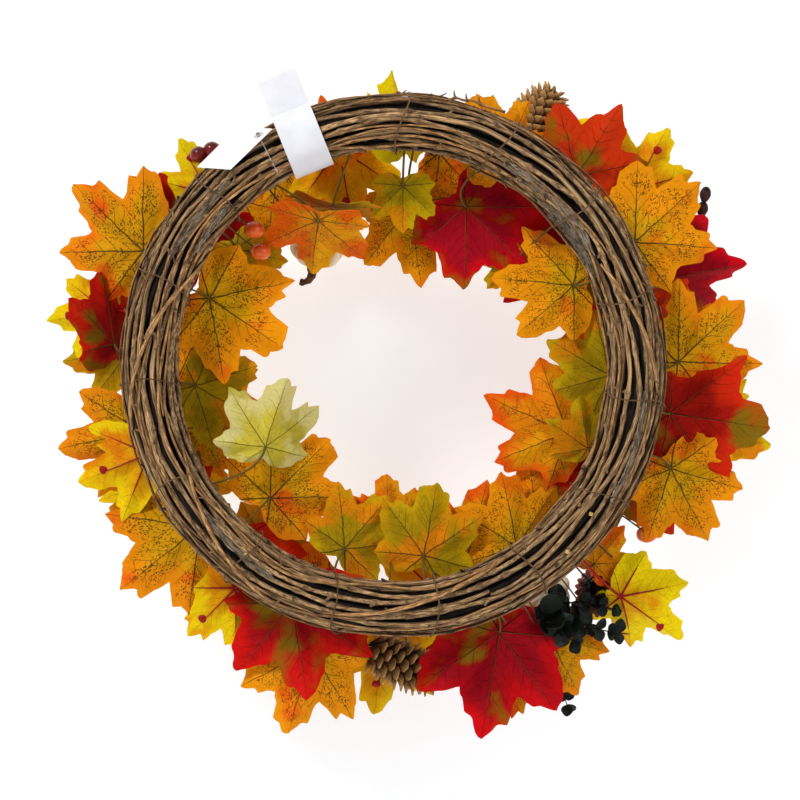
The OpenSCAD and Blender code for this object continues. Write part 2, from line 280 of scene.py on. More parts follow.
def shades(tree, mask, *stops):
    """Colours along a mask: each stop is a place from 0 to 1 and a paint code."""
    node = put(tree, "ValToRGB", (0, mask))
    ramp = node.color_ramp
    while len(ramp.elements) < len(stops):
        ramp.elements.new(0.5)
    for element, (place, code) in zip(ramp.elements, stops):
        element.position, element.color = place, tint(code)
    return node.outputs[0]


def blend_colours(tree, mask, first, second, how="MIX"):
    node = put(tree, "Mix", (0, mask), (6, first), (7, second), data_type="RGBA", blend_type=how)
    return node.outputs[2]


def cloudy(tree, vector, scale, detail=3.0, rough=0.55):
    return put(tree, "TexNoise", ("Vector", vector), ("Scale", scale), ("Detail", detail),
               ("Roughness", rough)).outputs[0]


def stretched(tree, vector, *scales):
    return put(tree, "Mapping", ("Vector", vector), ("Scale", scales)).outputs[0]


def shared_effect(name, takes, gives):
    """A shader node group with named inputs and outputs, used by several finishes."""
    group = bpy.data.node_groups.new(name, "ShaderNodeTree")
    for label, kind, start in takes:
        socket = group.interface.new_socket(label, in_out="INPUT", socket_type="NodeSocket" + kind)
        if kind != "Vector":
            socket.default_value = start
    for label, kind in gives:
        group.interface.new_socket(label, in_out="OUTPUT", socket_type="NodeSocket" + kind)
    return group, group.nodes.new("NodeGroupInput").outputs, group.nodes.new("NodeGroupOutput").inputs


def use_effect(tree, group, **wires):
    node = tree.nodes.new("ShaderNodeGroup")
    node.node_tree = group
    for label, value in wires.items():
        socket = node.inputs[label.replace("_", " ")]
        if isinstance(value, bpy.types.NodeSocket):
            tree.links.new(value, socket)
        else:
            socket.default_value = value
    return node.outputs


def new_finish(name, **plain):
    """A material and its shader. Plain values go straight onto the shader's own sockets."""
    material = bpy.data.materials.new(name)
    material.use_nodes = True
    tree = material.node_tree
    shader = tree.nodes["Principled BSDF"]
    for label, value in plain.items():
        shader.inputs[label.replace("_", " ")].default_value = value
    return material, tree, shader


def wire_up(tree, shader, colour=None, roughness=None, height=None, strength=0.5, depth=0.001):
    if colour is not None:
        tree.links.new(colour, shader.inputs["Base Color"])
    if roughness is not None:
        tree.links.new(roughness, shader.inputs["Roughness"])
    if height is not None:
        bump = put(tree, "Bump", ("Strength", strength), ("Distance", depth), ("Height", height))
        tree.links.new(bump.outputs[0], shader.inputs["Normal"])


print("gold in linear light:", [round(v, 3) for v in tint("#F2A81C")])


# %% [markdown]
# ## Finish: bark
# Dried grapevine is brown-grey and finely ridged along its length, with paler worn ridges, dark cracks and a
# redder skin where the bark is young. The ridges have to follow each cane, so the pattern reads the distance
# along the cane and the angle round it from the cane's own map. One shared effect makes it, and each bark
# finish gives it other colours. The effect also paints light and shade on each cane: lighter on the side
# that faces out of the bundle, with painted shade on the sides that face into it.
# %% Bark effect
bark_fibres, took, gave = shared_effect(
    "bark_fibres", [("Along", "Vector", None), ("Tone", "Float", 0.5), ("Knot", "Float", 0.0),
                    ("Crest", "Float", 0.5),
                    ("Dark", "Color", tint("#2A1C12")), ("Body", "Color", tint("#6E5138")),
                    ("Worn", "Color", tint("#A88B6C"))],
    [("Colour", "Color"), ("Height", "Float"), ("Roughness", "Float")])
tree = bark_fibres
place = put(tree, "SeparateXYZ", (0, took["Along"]))
around = times(tree, place.outputs[1], 2 * math.pi)
own = times(tree, took["Tone"], 37.0)
skin = put(tree, "CombineXYZ", (0, calc(tree, "COSINE", around)), (1, calc(tree, "SINE", around)),
           (2, plus(tree, times(tree, place.outputs[0], 8.0), own))).outputs[0]
fibre = cloudy(tree, stretched(tree, skin, 4.0, 4.0, 1.0), 1.6, 5.0, 0.62)
broad = cloudy(tree, stretched(tree, skin, 0.6, 0.6, 1.6), 1.0, 2.0)
flake = cloudy(tree, stretched(tree, skin, 2.0, 2.0, 6.0), 1.5, 4.0, 0.6)
ridge = fade(tree, fibre, 0.32, 0.58)
colour = blend_colours(tree, ridge, took["Dark"], took["Body"])
colour = blend_colours(tree, fade(tree, plus(tree, fibre, times(tree, broad, 0.5)), 0.66, 0.90),
                       colour, took["Worn"])
colour = blend_colours(tree, fade(tree, flake, 0.62, 0.76, 0.0, 0.35), colour, tint("#A18C70"))
colour = blend_colours(tree, times(tree, took["Knot"], 0.55), colour, tint("#3A2617"))
# Painted light and shade: the bark is lighter on the side of a cane that faces out of the bundle and darker on
# the sides that face into it.
value = times(tree, plus(tree, 0.66, times(tree, took["Tone"], 0.85)),
             fade(tree, took["Crest"], 0.30, 0.95, 0.22, 1.12))
shade = put(tree, "HueSaturation", ("Value", value), ("Color", colour), ("Saturation", 0.98)).outputs[0]
tree.links.new(shade, gave["Colour"])
tree.links.new(plus(tree, ridge, times(tree, flake, 0.6)), gave["Height"])
tree.links.new(fade(tree, fibre, 0.3, 0.7, 0.85, 0.62), gave["Roughness"])
print("bark effect nodes:", len(tree.nodes))


# %% Bark finishes
def bark_finish(name, dark, body, worn, strength=0.8):
    material, tree, shader = new_finish(name, Specular_IOR_Level=0.25)
    along = put(tree, "UVMap", uv_map="UVMap").outputs[0]
    tone = stored(tree, "tone")
    knot = stored(tree, "knot")
    painted_light = stored(tree, "painted_light")
    out = use_effect(tree, bark_fibres, Along=along, Tone=tone, Knot=knot, Crest=painted_light,
                     Dark=tint(dark), Body=tint(body), Worn=tint(worn))
    wire_up(tree, shader, out["Colour"], out["Roughness"], out["Height"], strength, 0.0006)
    return material


vine_bark = bark_finish("vine_bark", "#3A2413", "#8E6840", "#CDA573", 1.0)
thin_bark = bark_finish("thin_bark", "#3C2310", "#8F6238", "#CF9C62", 0.9)
# The canes inside the bundle get near-black bark: painted shade for the depth between the outer turns.
painted_shade_bark = bark_finish("painted_shade_bark", "#030201", "#120B06", "#2A1C10")
grey_bark = bark_finish("grey_bark", "#1E140C", "#6E5C48", "#B39F84", 1.0)
tie_bark = bark_finish("tie_bark", "#33200F", "#6E4C30", "#94704C")
print("bark finishes:", [m.name for m in (vine_bark, thin_bark, painted_shade_bark, grey_bark, tie_bark)])


# %% [markdown]
# ## Vines: how a cane is made
# A real ring is made by winding each long vine round and round and letting its springiness hold it. A cane is
# therefore one long curve with a round bevel: its points follow the ring, wander a little, swell at each knot
# and taper at the end. After the curve is turned into a mesh, the skin is pushed in and out along ridges, and
# a short bud is left at the knots. Modelling each cane from a cylinder would need dozens of cuts for the same.
# %% Canes from curves
def sway(along, wave, seed):
    """A slow, uneven swing between about -1 and 1 for distances along a cane in metres."""
    dice = np.random.default_rng(seed)
    total = np.zeros_like(along)
    for _ in range(4):
        total += dice.uniform(0.4, 1) * np.sin(2 * np.pi * along * dice.uniform(0.6, 1.6) / wave
                                               + dice.uniform(0, 6.28))
    return total / 1.7


def tubes(name, runs, sides=8, ridges=0.0, painted_valley_shade=False):
    """One mesh of round strands. Each run has points, radii and a tone, and may have knots.

    On the ring each strand is painted lighter on its outer side and given painted shade in the valleys between
    strands."""
    curve = bpy.data.curves.new(name, "CURVE")
    curve.dimensions = "3D"
    curve.bevel_depth = 0.001
    curve.bevel_resolution = (sides - 4) // 2
    for points, radii, *_ in runs:
        spline = curve.splines.new("POLY")
        spline.points.add(len(points) - 1)
        spline.points.foreach_set("co", np.hstack([points, np.ones((len(points), 1))]).ravel())
        spline.points.foreach_set("radius", np.broadcast_to(radii, len(points)) / 0.001)
    piece = bpy.data.objects.new(name, curve)
    bpy.context.scene.collection.objects.link(piece)
    pick(piece)
    bpy.ops.object.convert(target="MESH")
    piece = made(name)
    count = [len(run[0]) for run in runs]
    owner = np.repeat(np.arange(len(runs)), count)
    length = [np.linalg.norm(np.diff(run[0], axis=0), axis=1).sum() for run in runs]
    tones = np.concatenate([np.broadcast_to(run[2], len(run[0])) for run in runs])
    mark(piece, "tone", np.repeat(tones, sides))
    knots = np.concatenate([run[3] if len(run) > 3 else np.zeros(len(run[0])) for run in runs])
    mark(piece, "knot", np.repeat(knots, sides))
    corners = np.empty(len(piece.data.loops), int)
    piece.data.loops.foreach_get("vertex_index", corners)
    layer = piece.data.uv_layers[0]
    flat = np.empty(len(corners) * 2, np.float32)
    layer.data.foreach_get("uv", flat)
    flat = flat.reshape(-1, 2)
    flat[:, 0] *= np.array(length)[owner[corners // sides]] * 10
    layer.data.foreach_set("uv", flat.ravel())
    layer.name = "UVMap"
    # Painted light and shade: a value from the strand's side facing out of the bundle (lit) to the side facing
    # in (shaded); without the flag every point takes 0.75.
    centres = np.repeat(np.vstack([run[0] for run in runs]), sides, 0)
    spots = points_of(piece)
    clock = np.degrees(np.arctan2(-centres[:, 0], centres[:, 2] - RING_Z))
    outward, skin = centres - on_ring(clock, 0, 0), spots - centres
    lengths = np.linalg.norm(outward, axis=1) * np.linalg.norm(skin, axis=1)
    painted_light = (outward * skin).sum(1) / np.maximum(lengths, 1e-9)
    mark(piece, "painted_light", np.where(lengths > 1e-7, painted_light / 2 + 0.5, 0.5) if painted_valley_shade else 0.75)
    if ridges:
        side = np.tile(np.arange(sides), len(spots) // sides) * 2 * np.pi / sides
        row = np.repeat(np.arange(len(spots) // sides), sides)
        push = [noise.noise(Vector((math.cos(a) * 1.3, math.sin(a) * 1.3, r * 0.16 + owner[r] * 9.1)))
                for a, r in zip(side, row)]
        spots = centres + (spots - centres) * (1 + ridges * np.array(push)[:, None])
        move_points(piece, spots)
    bpy.ops.object.mode_set(mode="EDIT")
    bpy.ops.mesh.select_all(action="SELECT")
    bpy.ops.mesh.fill_holes(sides=sides)
    bpy.ops.object.mode_set(mode="OBJECT")
    return smooth(piece)


def knotty(count, step, seed, every=0.05):
    """Swellings along a cane: 1 at a knot, 0 between."""
    dice = np.random.default_rng(seed)
    along = np.arange(count) * step
    knots = np.cumsum(dice.uniform(0.6, 1.5, int(count * step / every) + 2) * every)
    knots = knots[knots < along[-1]]
    swell = np.zeros(count)
    for knot in knots:
        swell = np.maximum(swell, np.exp(-((along - knot) / 0.0030) ** 2))
    return swell, (knots / step).astype(int)


def buds(points, radii, places, seed, reach=0.007):
    """Short pegs where side shoots were cut off, with none on the path that the paper sleeve slides over."""
    dice = np.random.default_rng(seed)
    pegs = []
    for place in places:
        if dice.uniform() > 0.55 or not 2 < place < len(points) - 3:
            continue
        clock = math.degrees(math.atan2(-points[place][0], points[place][2] - RING_Z))
        if abs((clock - SLEEVE_CLOCK + 180) % 360 - 180) < SLEEVE_PATH:
            continue
        way = points[place + 1] - points[place - 1]
        way /= np.linalg.norm(way)
        out = points[place] - on_ring(clock, 0, 0)
        out = out - way * out.dot(way)
        out /= max(np.linalg.norm(out), 1e-6)
        side = np.cross(way, out) * dice.uniform(-1.2, 1.2)
        aim = out * 0.55 + side + way * dice.uniform(0.6, 1.1)
        aim /= np.linalg.norm(aim)
        long = dice.uniform(0.5, 1.2) * reach
        steps = np.array([0, 0.5, 0.9, 1.0])[:, None]
        root = radii[place]
        pegs.append((points[place] + aim * long * steps, root * np.array([0.75, 0.5, 0.42, 0.2]),
                     dice.uniform(0.2, 0.9), np.array([0.2, 0.4, 0.8, 1.0])))
    return pegs


print("a sway at three places:", sway(np.array([0, 0.1, 0.2]), 0.2, 1).round(2))

# %% [markdown]
# ## Vines: the four long vines
# Each vine goes four times round the ring. Its turns lie side by side, so its place in the bundle's section
# drifts by one cane's width on every turn, and it wanders by a few degrees, which opens the dark gaps that
# make the ring look wound instead of moulded.
# %% Winding the vines
FRONT_GAP, CANES, TURNS, STEP = 70.0, 16, 4, 0.0035
PITCH = (360 - FRONT_GAP) / CANES


def cane_turn(k):
    return -180 + FRONT_GAP / 2 + PITCH * (k + 0.5)


def wind_vine(n):
    seed = 40 + n
    count = int(TURNS * 2 * math.pi * RING_R / STEP)
    rounds = np.linspace(0, TURNS, count)
    along = rounds * 2 * math.pi * RING_R
    wander = 6.0 * sway(along, 0.24, seed) + 2.2 * sway(along, 0.09, seed + 9)
    turn = cane_turn(TURNS * n + rounds - 0.5) + wander
    swell, places = knotty(count, STEP, seed + 20, 0.036)
    radii = 0.00200 + 0.00030 * sway(along, 0.5, seed + 30) + 0.00115 * swell
    radii *= np.interp(along, [0, 0.04, along[-1] - 0.05, along[-1]], [0.55, 1, 1, 0.45])
    orbit = CANE_ORBIT + 0.0011 * sway(along, 0.16, seed + 50)
    points = on_ring(157 + 360 * rounds, turn, orbit)
    tone = np.clip(0.5 + 0.16 * math.sin(seed * 5.1) + 0.28 * sway(along, 0.7, seed + 70), 0, 1)
    return [(points, radii, tone, swell)] + buds(points, radii, places, seed + 60)


for n in range(4):
    piece = tubes(f"vine_turns_{n + 1}", wind_vine(n), sides=10, ridges=0.20, painted_valley_shade=True)
    hand_over(piece, "wreath", "vine", vine_bark, f"vine_{n + 1}")
    print(piece.name, len(piece.data.polygons))

# %% [markdown]
# ## Vines: what fills the ring
# Between the outer turns one looks into the bundle: more canes lie there in deep shade. They are real canes
# again, but fewer and plainer, round a dark middle that is never seen clearly; their bark is painted near black
# as painted shade.
# %% Inner canes
inner = []
for k in range(15):
    count = int(2 * math.pi * RING_R / 0.006)
    along = np.linspace(0, 2 * math.pi * RING_R, count)
    ends = np.sin(np.pi * np.linspace(0, 1, count)) ** 0.2
    turn = -180 + FRONT_GAP / 2 + (360 - FRONT_GAP) / 15 * (k + 0.5) + 8 * ends * sway(along, 0.3, 80 + k)
    radii = 0.0024 + 0.0004 * sway(along, 0.1, 90 + k)
    inner.append((on_ring(24 * k + np.degrees(along / RING_R), turn, 0.0163), radii, 0.3 + 0.04 * k,
                  np.zeros(count)))
middle = int(2 * math.pi * RING_R / 0.01)
inner.append((on_ring(np.linspace(0, 360, middle), 0, 0), np.full(middle, 0.0128), 0.1, np.zeros(middle)))
piece = tubes("inner_canes", inner, sides=8, ridges=0.2, painted_valley_shade=True)
hand_over(piece, "wreath", "vine", painted_shade_bark, "vine_core")
print("inner canes:", len(inner), "faces:", len(piece.data.polygons))

# %% [markdown]
# ## Vines: thin canes that cross the others
# Thinner shoots were wound in last. They lie on the outside, wander most and run slantwise over the thick
# turns, each for part of the way round, and end in a pointed tip. The paper sleeve needs a clear path where
# it slides, so the shoots stay low beneath it.
# %% Thin canes
thin = []
for k in range(17):
    dice = np.random.default_rng(300 + k)
    start, sweep = dice.uniform(0, 360), dice.uniform(70, 230)
    count = int(math.radians(sweep) * RING_R / 0.004)
    along = np.linspace(0, math.radians(sweep) * RING_R, count)
    clock = start + np.degrees(along / RING_R)
    turn = dice.uniform(-125, 125) + dice.uniform(-40, 40) * np.linspace(-0.5, 0.5, count)
    turn = np.clip(turn + 9 * sway(along, 0.2, 400 + k), -142, 142)
    swell, places = knotty(count, 0.004, 500 + k, 0.042)
    radii = dice.uniform(0.0009, 0.0015) * np.interp(along, [0, 0.03, along[-1] - 0.08, along[-1]],
                                                     [0.6, 1, 0.9, 0.35]) * (1 + 0.35 * swell)
    near = np.abs((clock - SLEEVE_CLOCK + 180) % 360 - 180)
    lifted = 0.0242 + 0.0012 * sway(along, 0.12, 600 + k)
    orbit = np.where(near < 14, np.minimum(lifted, 0.0243), lifted)
    points = on_ring(clock, turn, orbit)
    thin.append((points, radii, dice.uniform(0.2, 0.95), swell))
    thin += buds(points, radii, places, 700 + k, 0.008)
hoop_turn = cane_turn(5.5)
hoop_clock = np.linspace(-43, -12, 40)
for start, end, turn_from, turn_to in ((64, 96, -30, 45), (-104, -70, 60, -35), (150, 196, -50, 25),
                                       (-84, -58, 10, -80), (206, 248, 50, -40)):
    count = int(math.radians(end - start) * RING_R / 0.004)
    along = np.linspace(0, 1, count)
    thin.append((on_ring(start + (end - start) * along, turn_from + (turn_to - turn_from) * along,
                         0.0236 + 0.0022 * np.sin(np.pi * along)),
                 0.0019 * np.interp(along, [0, 0.1, 0.85, 1], [0.6, 1, 0.9, 0.4]), 0.7, np.zeros(count)))
thin.append((on_ring(hoop_clock, hoop_turn, 0.0257), np.interp(np.linspace(0, 1, 40), [0, 0.08, 0.9, 1],
             [0.0006, 0.0012, 0.0012, 0.0005]), 0.6, np.zeros(40)))
piece = tubes("thin_shoots", thin, sides=8, ridges=0.25, painted_valley_shade=True)
hand_over(piece, "wreath", "bark", thin_bark, "thin_canes")
print("thin shoots:", len(thin), "faces:", len(piece.data.polygons))

# %% [markdown]
# ## Vines: the tendril that ties them
# A thin tendril is wrapped round the whole bundle in a long spiral and keeps the turns together. It is one
# curve that leans a little on each wrap, with a few loose curls.
# %% Binding tendril
runs = []
for wrap in range(15):
    clock = 2 + 24 * wrap
    if 316 < clock < 352:
        continue
    dice = np.random.default_rng(820 + wrap)
    turn = np.linspace(-158, 158, 72)
    lean = dice.uniform(-4.5, 4.5)
    orbit = 0.0263 + 0.0004 * np.sin(np.radians(turn * 3 + wrap * 50))
    wobble = 0.8 * np.sin(np.radians(turn * 2.3 + wrap * 40))
    points = on_ring(clock + lean * turn / 158 + wobble, turn, orbit)
    runs.append((points, dice.uniform(0.00055, 0.0008), dice.uniform(0.3, 0.9), np.zeros(72)))
piece = tubes("binding_tendril", runs, sides=6)
hand_over(piece, "wreath", "bark", tie_bark, "binding_ties")
print("wraps:", len(runs))

# %% [markdown]
# ## Vines: strips of old bark
# Where the vine was oldest, its bark hangs on in grey strips with deep long fibres and splintered ends.
# A strip starts as a flat grid. It is laid along the ring, wrapped over the bundle, creased along its
# fibres, torn at both ends, and then given its thickness.
# %% Bark strips
def bark_strip(name, start, end, turn, width, seed):
    dice = np.random.default_rng(seed)
    nothing_selected()
    long = int((end - start) * 2.6)
    bpy.ops.mesh.primitive_grid_add(x_subdivisions=long, y_subdivisions=16, size=2)
    piece = made(name)
    flat = points_of(piece)
    along, across = (flat[:, 0] + 1) / 2, flat[:, 1]
    fibre = np.array([noise.noise(Vector((a * 5, c * 4.5, seed))) for a, c in zip(along, across)])
    ragged = np.array([noise.noise(Vector((c * 7, seed, 3))) for c in across])
    pinch = np.interp(along, [0, 0.08, 0.9, 1], [0.45, 1, 1, 0.35])
    torn = 0.10 * ragged * np.interp(along, [0, 0.15, 0.85, 1], [1, 0, 0, 1])
    clock = start + (end - start) * (along + torn)
    spread = np.degrees(width / 2 / BUNDLE_R) * across * pinch * (1 + 0.12 * fibre)
    orbit = 0.0238 + 0.0019 * fibre + 0.0012 * (1 - across ** 2) + 0.0009 * (np.abs(along - 0.5) * 2) ** 6
    move_points(piece, on_ring(clock, turn + spread + 4 * np.sin(along * 3 + seed), orbit))
    shell = piece.modifiers.new("thickness", "SOLIDIFY")
    shell.thickness, shell.offset = 0.0011, -1
    apply_modifiers(piece)
    mark(piece, "tone", dice.uniform(0.35, 0.75))
    mark(piece, "knot", 0.0)
    # Painted light: a strip is lighter where it lies on the back of the bundle, towards the key light, and
    # shaded towards its front.
    mark(piece, "painted_light", 0.42 + 0.9 * points_of(piece)[:, 1] / BUNDLE_R * 0.4)
    layer = piece.data.uv_layers[0]
    spread_uv = np.empty(len(piece.data.loops) * 2, np.float32)
    layer.data.foreach_get("uv", spread_uv)
    spread_uv = spread_uv.reshape(-1, 2)
    spread_uv *= [math.radians(end - start) * RING_R * 10 * 1.4, 0.9]
    layer.data.foreach_set("uv", spread_uv.ravel())
    return smooth(piece, 50)


strips = [bark_strip(f"strip_{i}", *row) for i, row in enumerate([
    (30, 60, -32, 0.008, 1), (34, 66, -50, 0.007, 2), (-64, -42, 4, 0.006, 3), (-60, -46, -34, 0.006, 4),
    (96, 122, 20, 0.005, 5), (46, 62, -70, 0.006, 6), (-150, -128, -6, 0.005, 8)])]
piece = joined("old_bark", *strips)
hand_over(piece, "wreath", "bark", grey_bark, "bark_strips")
print("old bark faces:", len(piece.data.polygons))

# %% [markdown]
# ## Vines: the loose twig
# One shoot has sprung out at the top. It is bent at its knots and carries a few buds, so its curve has a
# corner at each of them.
# %% Loose twig
TWIG_BENDS = ((26, 214, -6), (38, 221, -6), (52, 224.5, -6), (62, 223, -5.5), (73, 220, -5), (94, 212.5, -4))
bends = np.array([flat_place(*[v / 1000 for v in row]) for row in TWIG_BENDS])
steps = np.linspace(0, len(bends) - 1, 46)
route = np.stack([np.interp(steps, range(len(bends)), bends[:, i]) for i in range(3)], 1)
route[:, 2] += 0.0006 * np.sin(steps * 4)
bumps = np.exp(-((steps - np.round(steps)) / 0.11) ** 2)
runs = [(route, 0.0010 + 0.0006 * bumps, 0.6, bumps)]
for spot in (9, 18, 27, 36):
    runs.append((route[spot] + np.array([[0, 0, 0], [0.001, 0.001, 0.003], [0.001, 0.002, 0.006]]),
                 np.array([0.0009, 0.0008, 0.0003]), 0.7, np.array([0.3, 0.7, 1.0])))
piece = tubes("sprung_twig", runs, sides=8, ridges=0.2)
hand_over(piece, "wreath", "twig", thin_bark, "loose_twig")
print("twig length:", round(float(np.linalg.norm(np.diff(route, axis=0), axis=1).sum()), 4))

# %% [markdown]
# ## Finish: printed silk
# The leaves are polyester silk with a pattern printed on it: a warm middle, another colour towards the edge,
# dark veins that branch from the stem, and clouds of small dark dashes between them. The pattern belongs to
# the leaf and not to the room, so it reads leaf coordinates: how far right of the midrib and how far along it
# a spot is, counted in midrib lengths. Five main veins divide the leaf into sectors. In each sector the
# effect measures the distance along the nearest vein and away from it, and side veins repeat along it.
# %% Leaf print effect
VEIN_ANGLES = (0.0, 0.80, 1.67, 2.45)
VEIN_LIMITS = (0.40, 1.24, 2.06)
leaf_print, took, gave = shared_effect(
    "leaf_print", [("Leaf", "Vector", None), ("Seed", "Float", 0.5), ("Reach", "Float", 0.5),
                   ("Middle", "Color", tint("#F09A10")), ("Edge", "Color", tint("#F8C048")),
                   ("Patch", "Color", tint("#A89018")), ("Patch amount", "Float", 0.5),
                   ("Vein", "Color", tint("#3A1C08")), ("Vein width", "Float", 0.012),
                   ("Speckles", "Float", 0.6), ("Net", "Float", 0.35)],
    [("Colour", "Color"), ("Height", "Float"), ("Roughness", "Float")])
tree = leaf_print
shift = times(tree, took["Seed"], 17.0)
apart = put(tree, "VectorMath", (0, took["Leaf"]), (1, put(tree, "CombineXYZ", (0, shift), (1, shift),
            (2, shift)).outputs[0]), operation="ADD").outputs[0]
bend = put(tree, "TexNoise", ("Vector", apart), ("Scale", 5.0), ("Detail", 3.0)).outputs["Color"]
bend = put(tree, "VectorMath", (0, bend), (1, (0.5, 0.5, 0.5)), operation="SUBTRACT").outputs[0]
bend = put(tree, "VectorMath", (0, bend), ("Scale", 0.05), operation="SCALE").outputs[0]
waved = put(tree, "VectorMath", (0, took["Leaf"]), (1, bend), operation="ADD").outputs[0]
spot = put(tree, "SeparateXYZ", (0, waved))
side = calc(tree, "ABSOLUTE", spot.outputs[0])
far = put(tree, "VectorMath", (0, put(tree, "CombineXYZ", (0, side), (1, spot.outputs[1])).outputs[0]),
          operation="LENGTH").outputs["Value"]
angle = calc(tree, "ARCTAN2", side, spot.outputs[1])
nearest = 0.0
for limit, this, last in zip(VEIN_LIMITS, VEIN_ANGLES[1:], VEIN_ANGLES):
    nearest = plus(tree, nearest, times(tree, calc(tree, "GREATER_THAN", angle, limit),
                                              this - last))
off = minus(tree, angle, nearest)
along = times(tree, far, calc(tree, "COSINE", off))
away = times(tree, far, calc(tree, "ABSOLUTE", calc(tree, "SINE", off)))
thick = times(tree, took["Vein width"], calc(tree, "MAXIMUM", minus(tree, 1.1, along), 0.15))
main_vein = minus(tree, 1.0, fade(tree, calc(tree, "DIVIDE", away, thick), 0.45, 1.15))
SIDE_VEIN_STEP = 0.15
rank = calc(tree, "DIVIDE", minus(tree, along, times(tree, away, 1.15)), SIDE_VEIN_STEP)
phase = calc(tree, "FRACT", plus(tree, rank, took["Seed"]))
gap = times(tree, calc(tree, "MINIMUM", phase, minus(tree, 1.0, phase)), SIDE_VEIN_STEP * 0.66)
fine = times(tree, times(tree, took["Vein width"], 0.5),
            calc(tree, "MAXIMUM", minus(tree, 1.0, times(tree, away, 3.2)), 0.1))
side_vein = minus(tree, 1.0, fade(tree, calc(tree, "DIVIDE", gap, fine), 0.4, 1.2))
side_vein = times(tree, side_vein, fade(tree, took["Reach"], 0.78, 0.95, 1.0, 0.0))
cells = put(tree, "TexVoronoi", ("Vector", apart), ("Scale", 17.0), feature="DISTANCE_TO_EDGE")
net = times(tree, fade(tree, cells.outputs["Distance"], 0.02, 0.07, 1.0, 0.0), took["Net"])
dash_place = put(tree, "CombineXYZ", (0, times(tree, along, 36.0)),
                 (1, plus(tree, times(tree, away, 66.0), times(tree, nearest, 40.0))),
                 (2, shift)).outputs[0]
dash = put(tree, "TexVoronoi", ("Vector", dash_place), ("Scale", 1.0))
keep = put(tree, "SeparateColor", (0, dash.outputs["Color"])).outputs[0]
cloud = cloudy(tree, apart, 5.0, 4.0, 0.65)
cloud_mask = fade(tree, plus(tree, cloud, times(tree, took["Speckles"], 0.12)), 0.55, 0.63)
dashes = times(tree, fade(tree, dash.outputs["Distance"], 0.34, 0.48, 1.0, 0.0),
              calc(tree, "GREATER_THAN", keep, 0.22))
dashes = times(tree, times(tree, dashes, cloud_mask), took["Speckles"])
dashes = times(tree, dashes, fade(tree, took["Reach"], 0.78, 0.97, 1.0, 0.0))
blush = cloudy(tree, apart, 2.6, 3.0)
rim = plus(tree, took["Reach"], times(tree, minus(tree, blush, 0.5), 1.1))
rim = fade(tree, plus(tree, rim, times(tree, minus(tree, took["Seed"], 0.5), 0.5)),
           0.42, 0.86)
colour = blend_colours(tree, rim, took["Middle"], took["Edge"])
moved = put(tree, "VectorMath", (0, apart), (1, (7.0, 3.0, 1.0)), operation="ADD")
patches = cloudy(tree, moved.outputs[0], 1.7, 2.5)
patch_mask = fade(tree, plus(tree, patches, times(tree, took["Patch amount"], 0.30)), 0.60, 0.76)
colour = blend_colours(tree, times(tree, patch_mask, 0.92), colour, took["Patch"])
mottle = cloudy(tree, apart, 24.0, 3.0)
own_hue = plus(tree, 0.5, times(tree, minus(tree, took["Seed"], 0.5), 0.012))
colour = put(tree, "HueSaturation", ("Hue", own_hue), ("Color", colour), ("Saturation", 1.05),
             ("Value", plus(tree, 0.80, times(tree, mottle, 0.36)))).outputs[0]
ink = calc(tree, "MAXIMUM", times(tree, main_vein, 0.85), times(tree, side_vein, 0.55))
ink = calc(tree, "MAXIMUM", ink, calc(tree, "MAXIMUM", net, times(tree, dashes, 0.85)))
tree.links.new(blend_colours(tree, ink, colour, took["Vein"]), gave["Colour"])
raised = plus(tree, times(tree, main_vein, 1.0), times(tree, side_vein, 0.6))
tree.links.new(plus(tree, raised, times(tree, mottle, 0.35)), gave["Height"])
tree.links.new(fade(tree, mottle, 0.3, 0.7, 0.72, 0.55), gave["Roughness"])
print("leaf print nodes:", len(tree.nodes))

# %% [markdown]
# ## Finish: the silk's weave
# Close up, the leaf is a plain weave of fine threads, over and under in turn. Two sets of soft waves at right
# angles, taken one against the other, give that at thread size. It only feeds the bump, because the print
# covers the threads' own colour.
# %% Weave effect
silk_weave, took, gave = shared_effect("silk_weave", [("Leaf", "Vector", None), ("Threads", "Float", 130.0)],
                                       [("Height", "Float")])
tree = silk_weave
turned = put(tree, "Mapping", ("Vector", took["Leaf"]), ("Rotation", (0, 0, 0.5))).outputs[0]
turned = put(tree, "VectorMath", (0, turned), ("Scale", took["Threads"]), operation="SCALE").outputs[0]
spot = put(tree, "SeparateXYZ", (0, turned))
over = calc(tree, "SINE", times(tree, spot.outputs[0], math.pi))
under = calc(tree, "SINE", times(tree, spot.outputs[1], math.pi))
tree.links.new(calc(tree, "ABSOLUTE", times(tree, over, under)), gave["Height"])
print("weave nodes:", len(tree.nodes))


# %% Silk finishes
def silk_finish(name, middle, edge, patch, amount, vein, width, speckles, net):
    material, tree, shader = new_finish(name, Specular_IOR_Level=0.10)
    leaf = put(tree, "UVMap", uv_map="Leaf").outputs[0]
    seed = stored(tree, "leaf_seed")
    reach = stored(tree, "reach")
    out = use_effect(tree, leaf_print, Leaf=leaf, Seed=seed, Reach=reach, Middle=tint(middle),
                     Edge=tint(edge), Patch=tint(patch), Patch_amount=amount,
                     Vein=tint(vein), Vein_width=width,
                     Speckles=speckles, Net=net)
    threads = use_effect(tree, silk_weave, Leaf=leaf)["Height"]
    height = plus(tree, out["Height"], times(tree, threads, 0.22))
    wire_up(tree, shader, out["Colour"], out["Roughness"], height, 0.8, 0.0010)
    return material


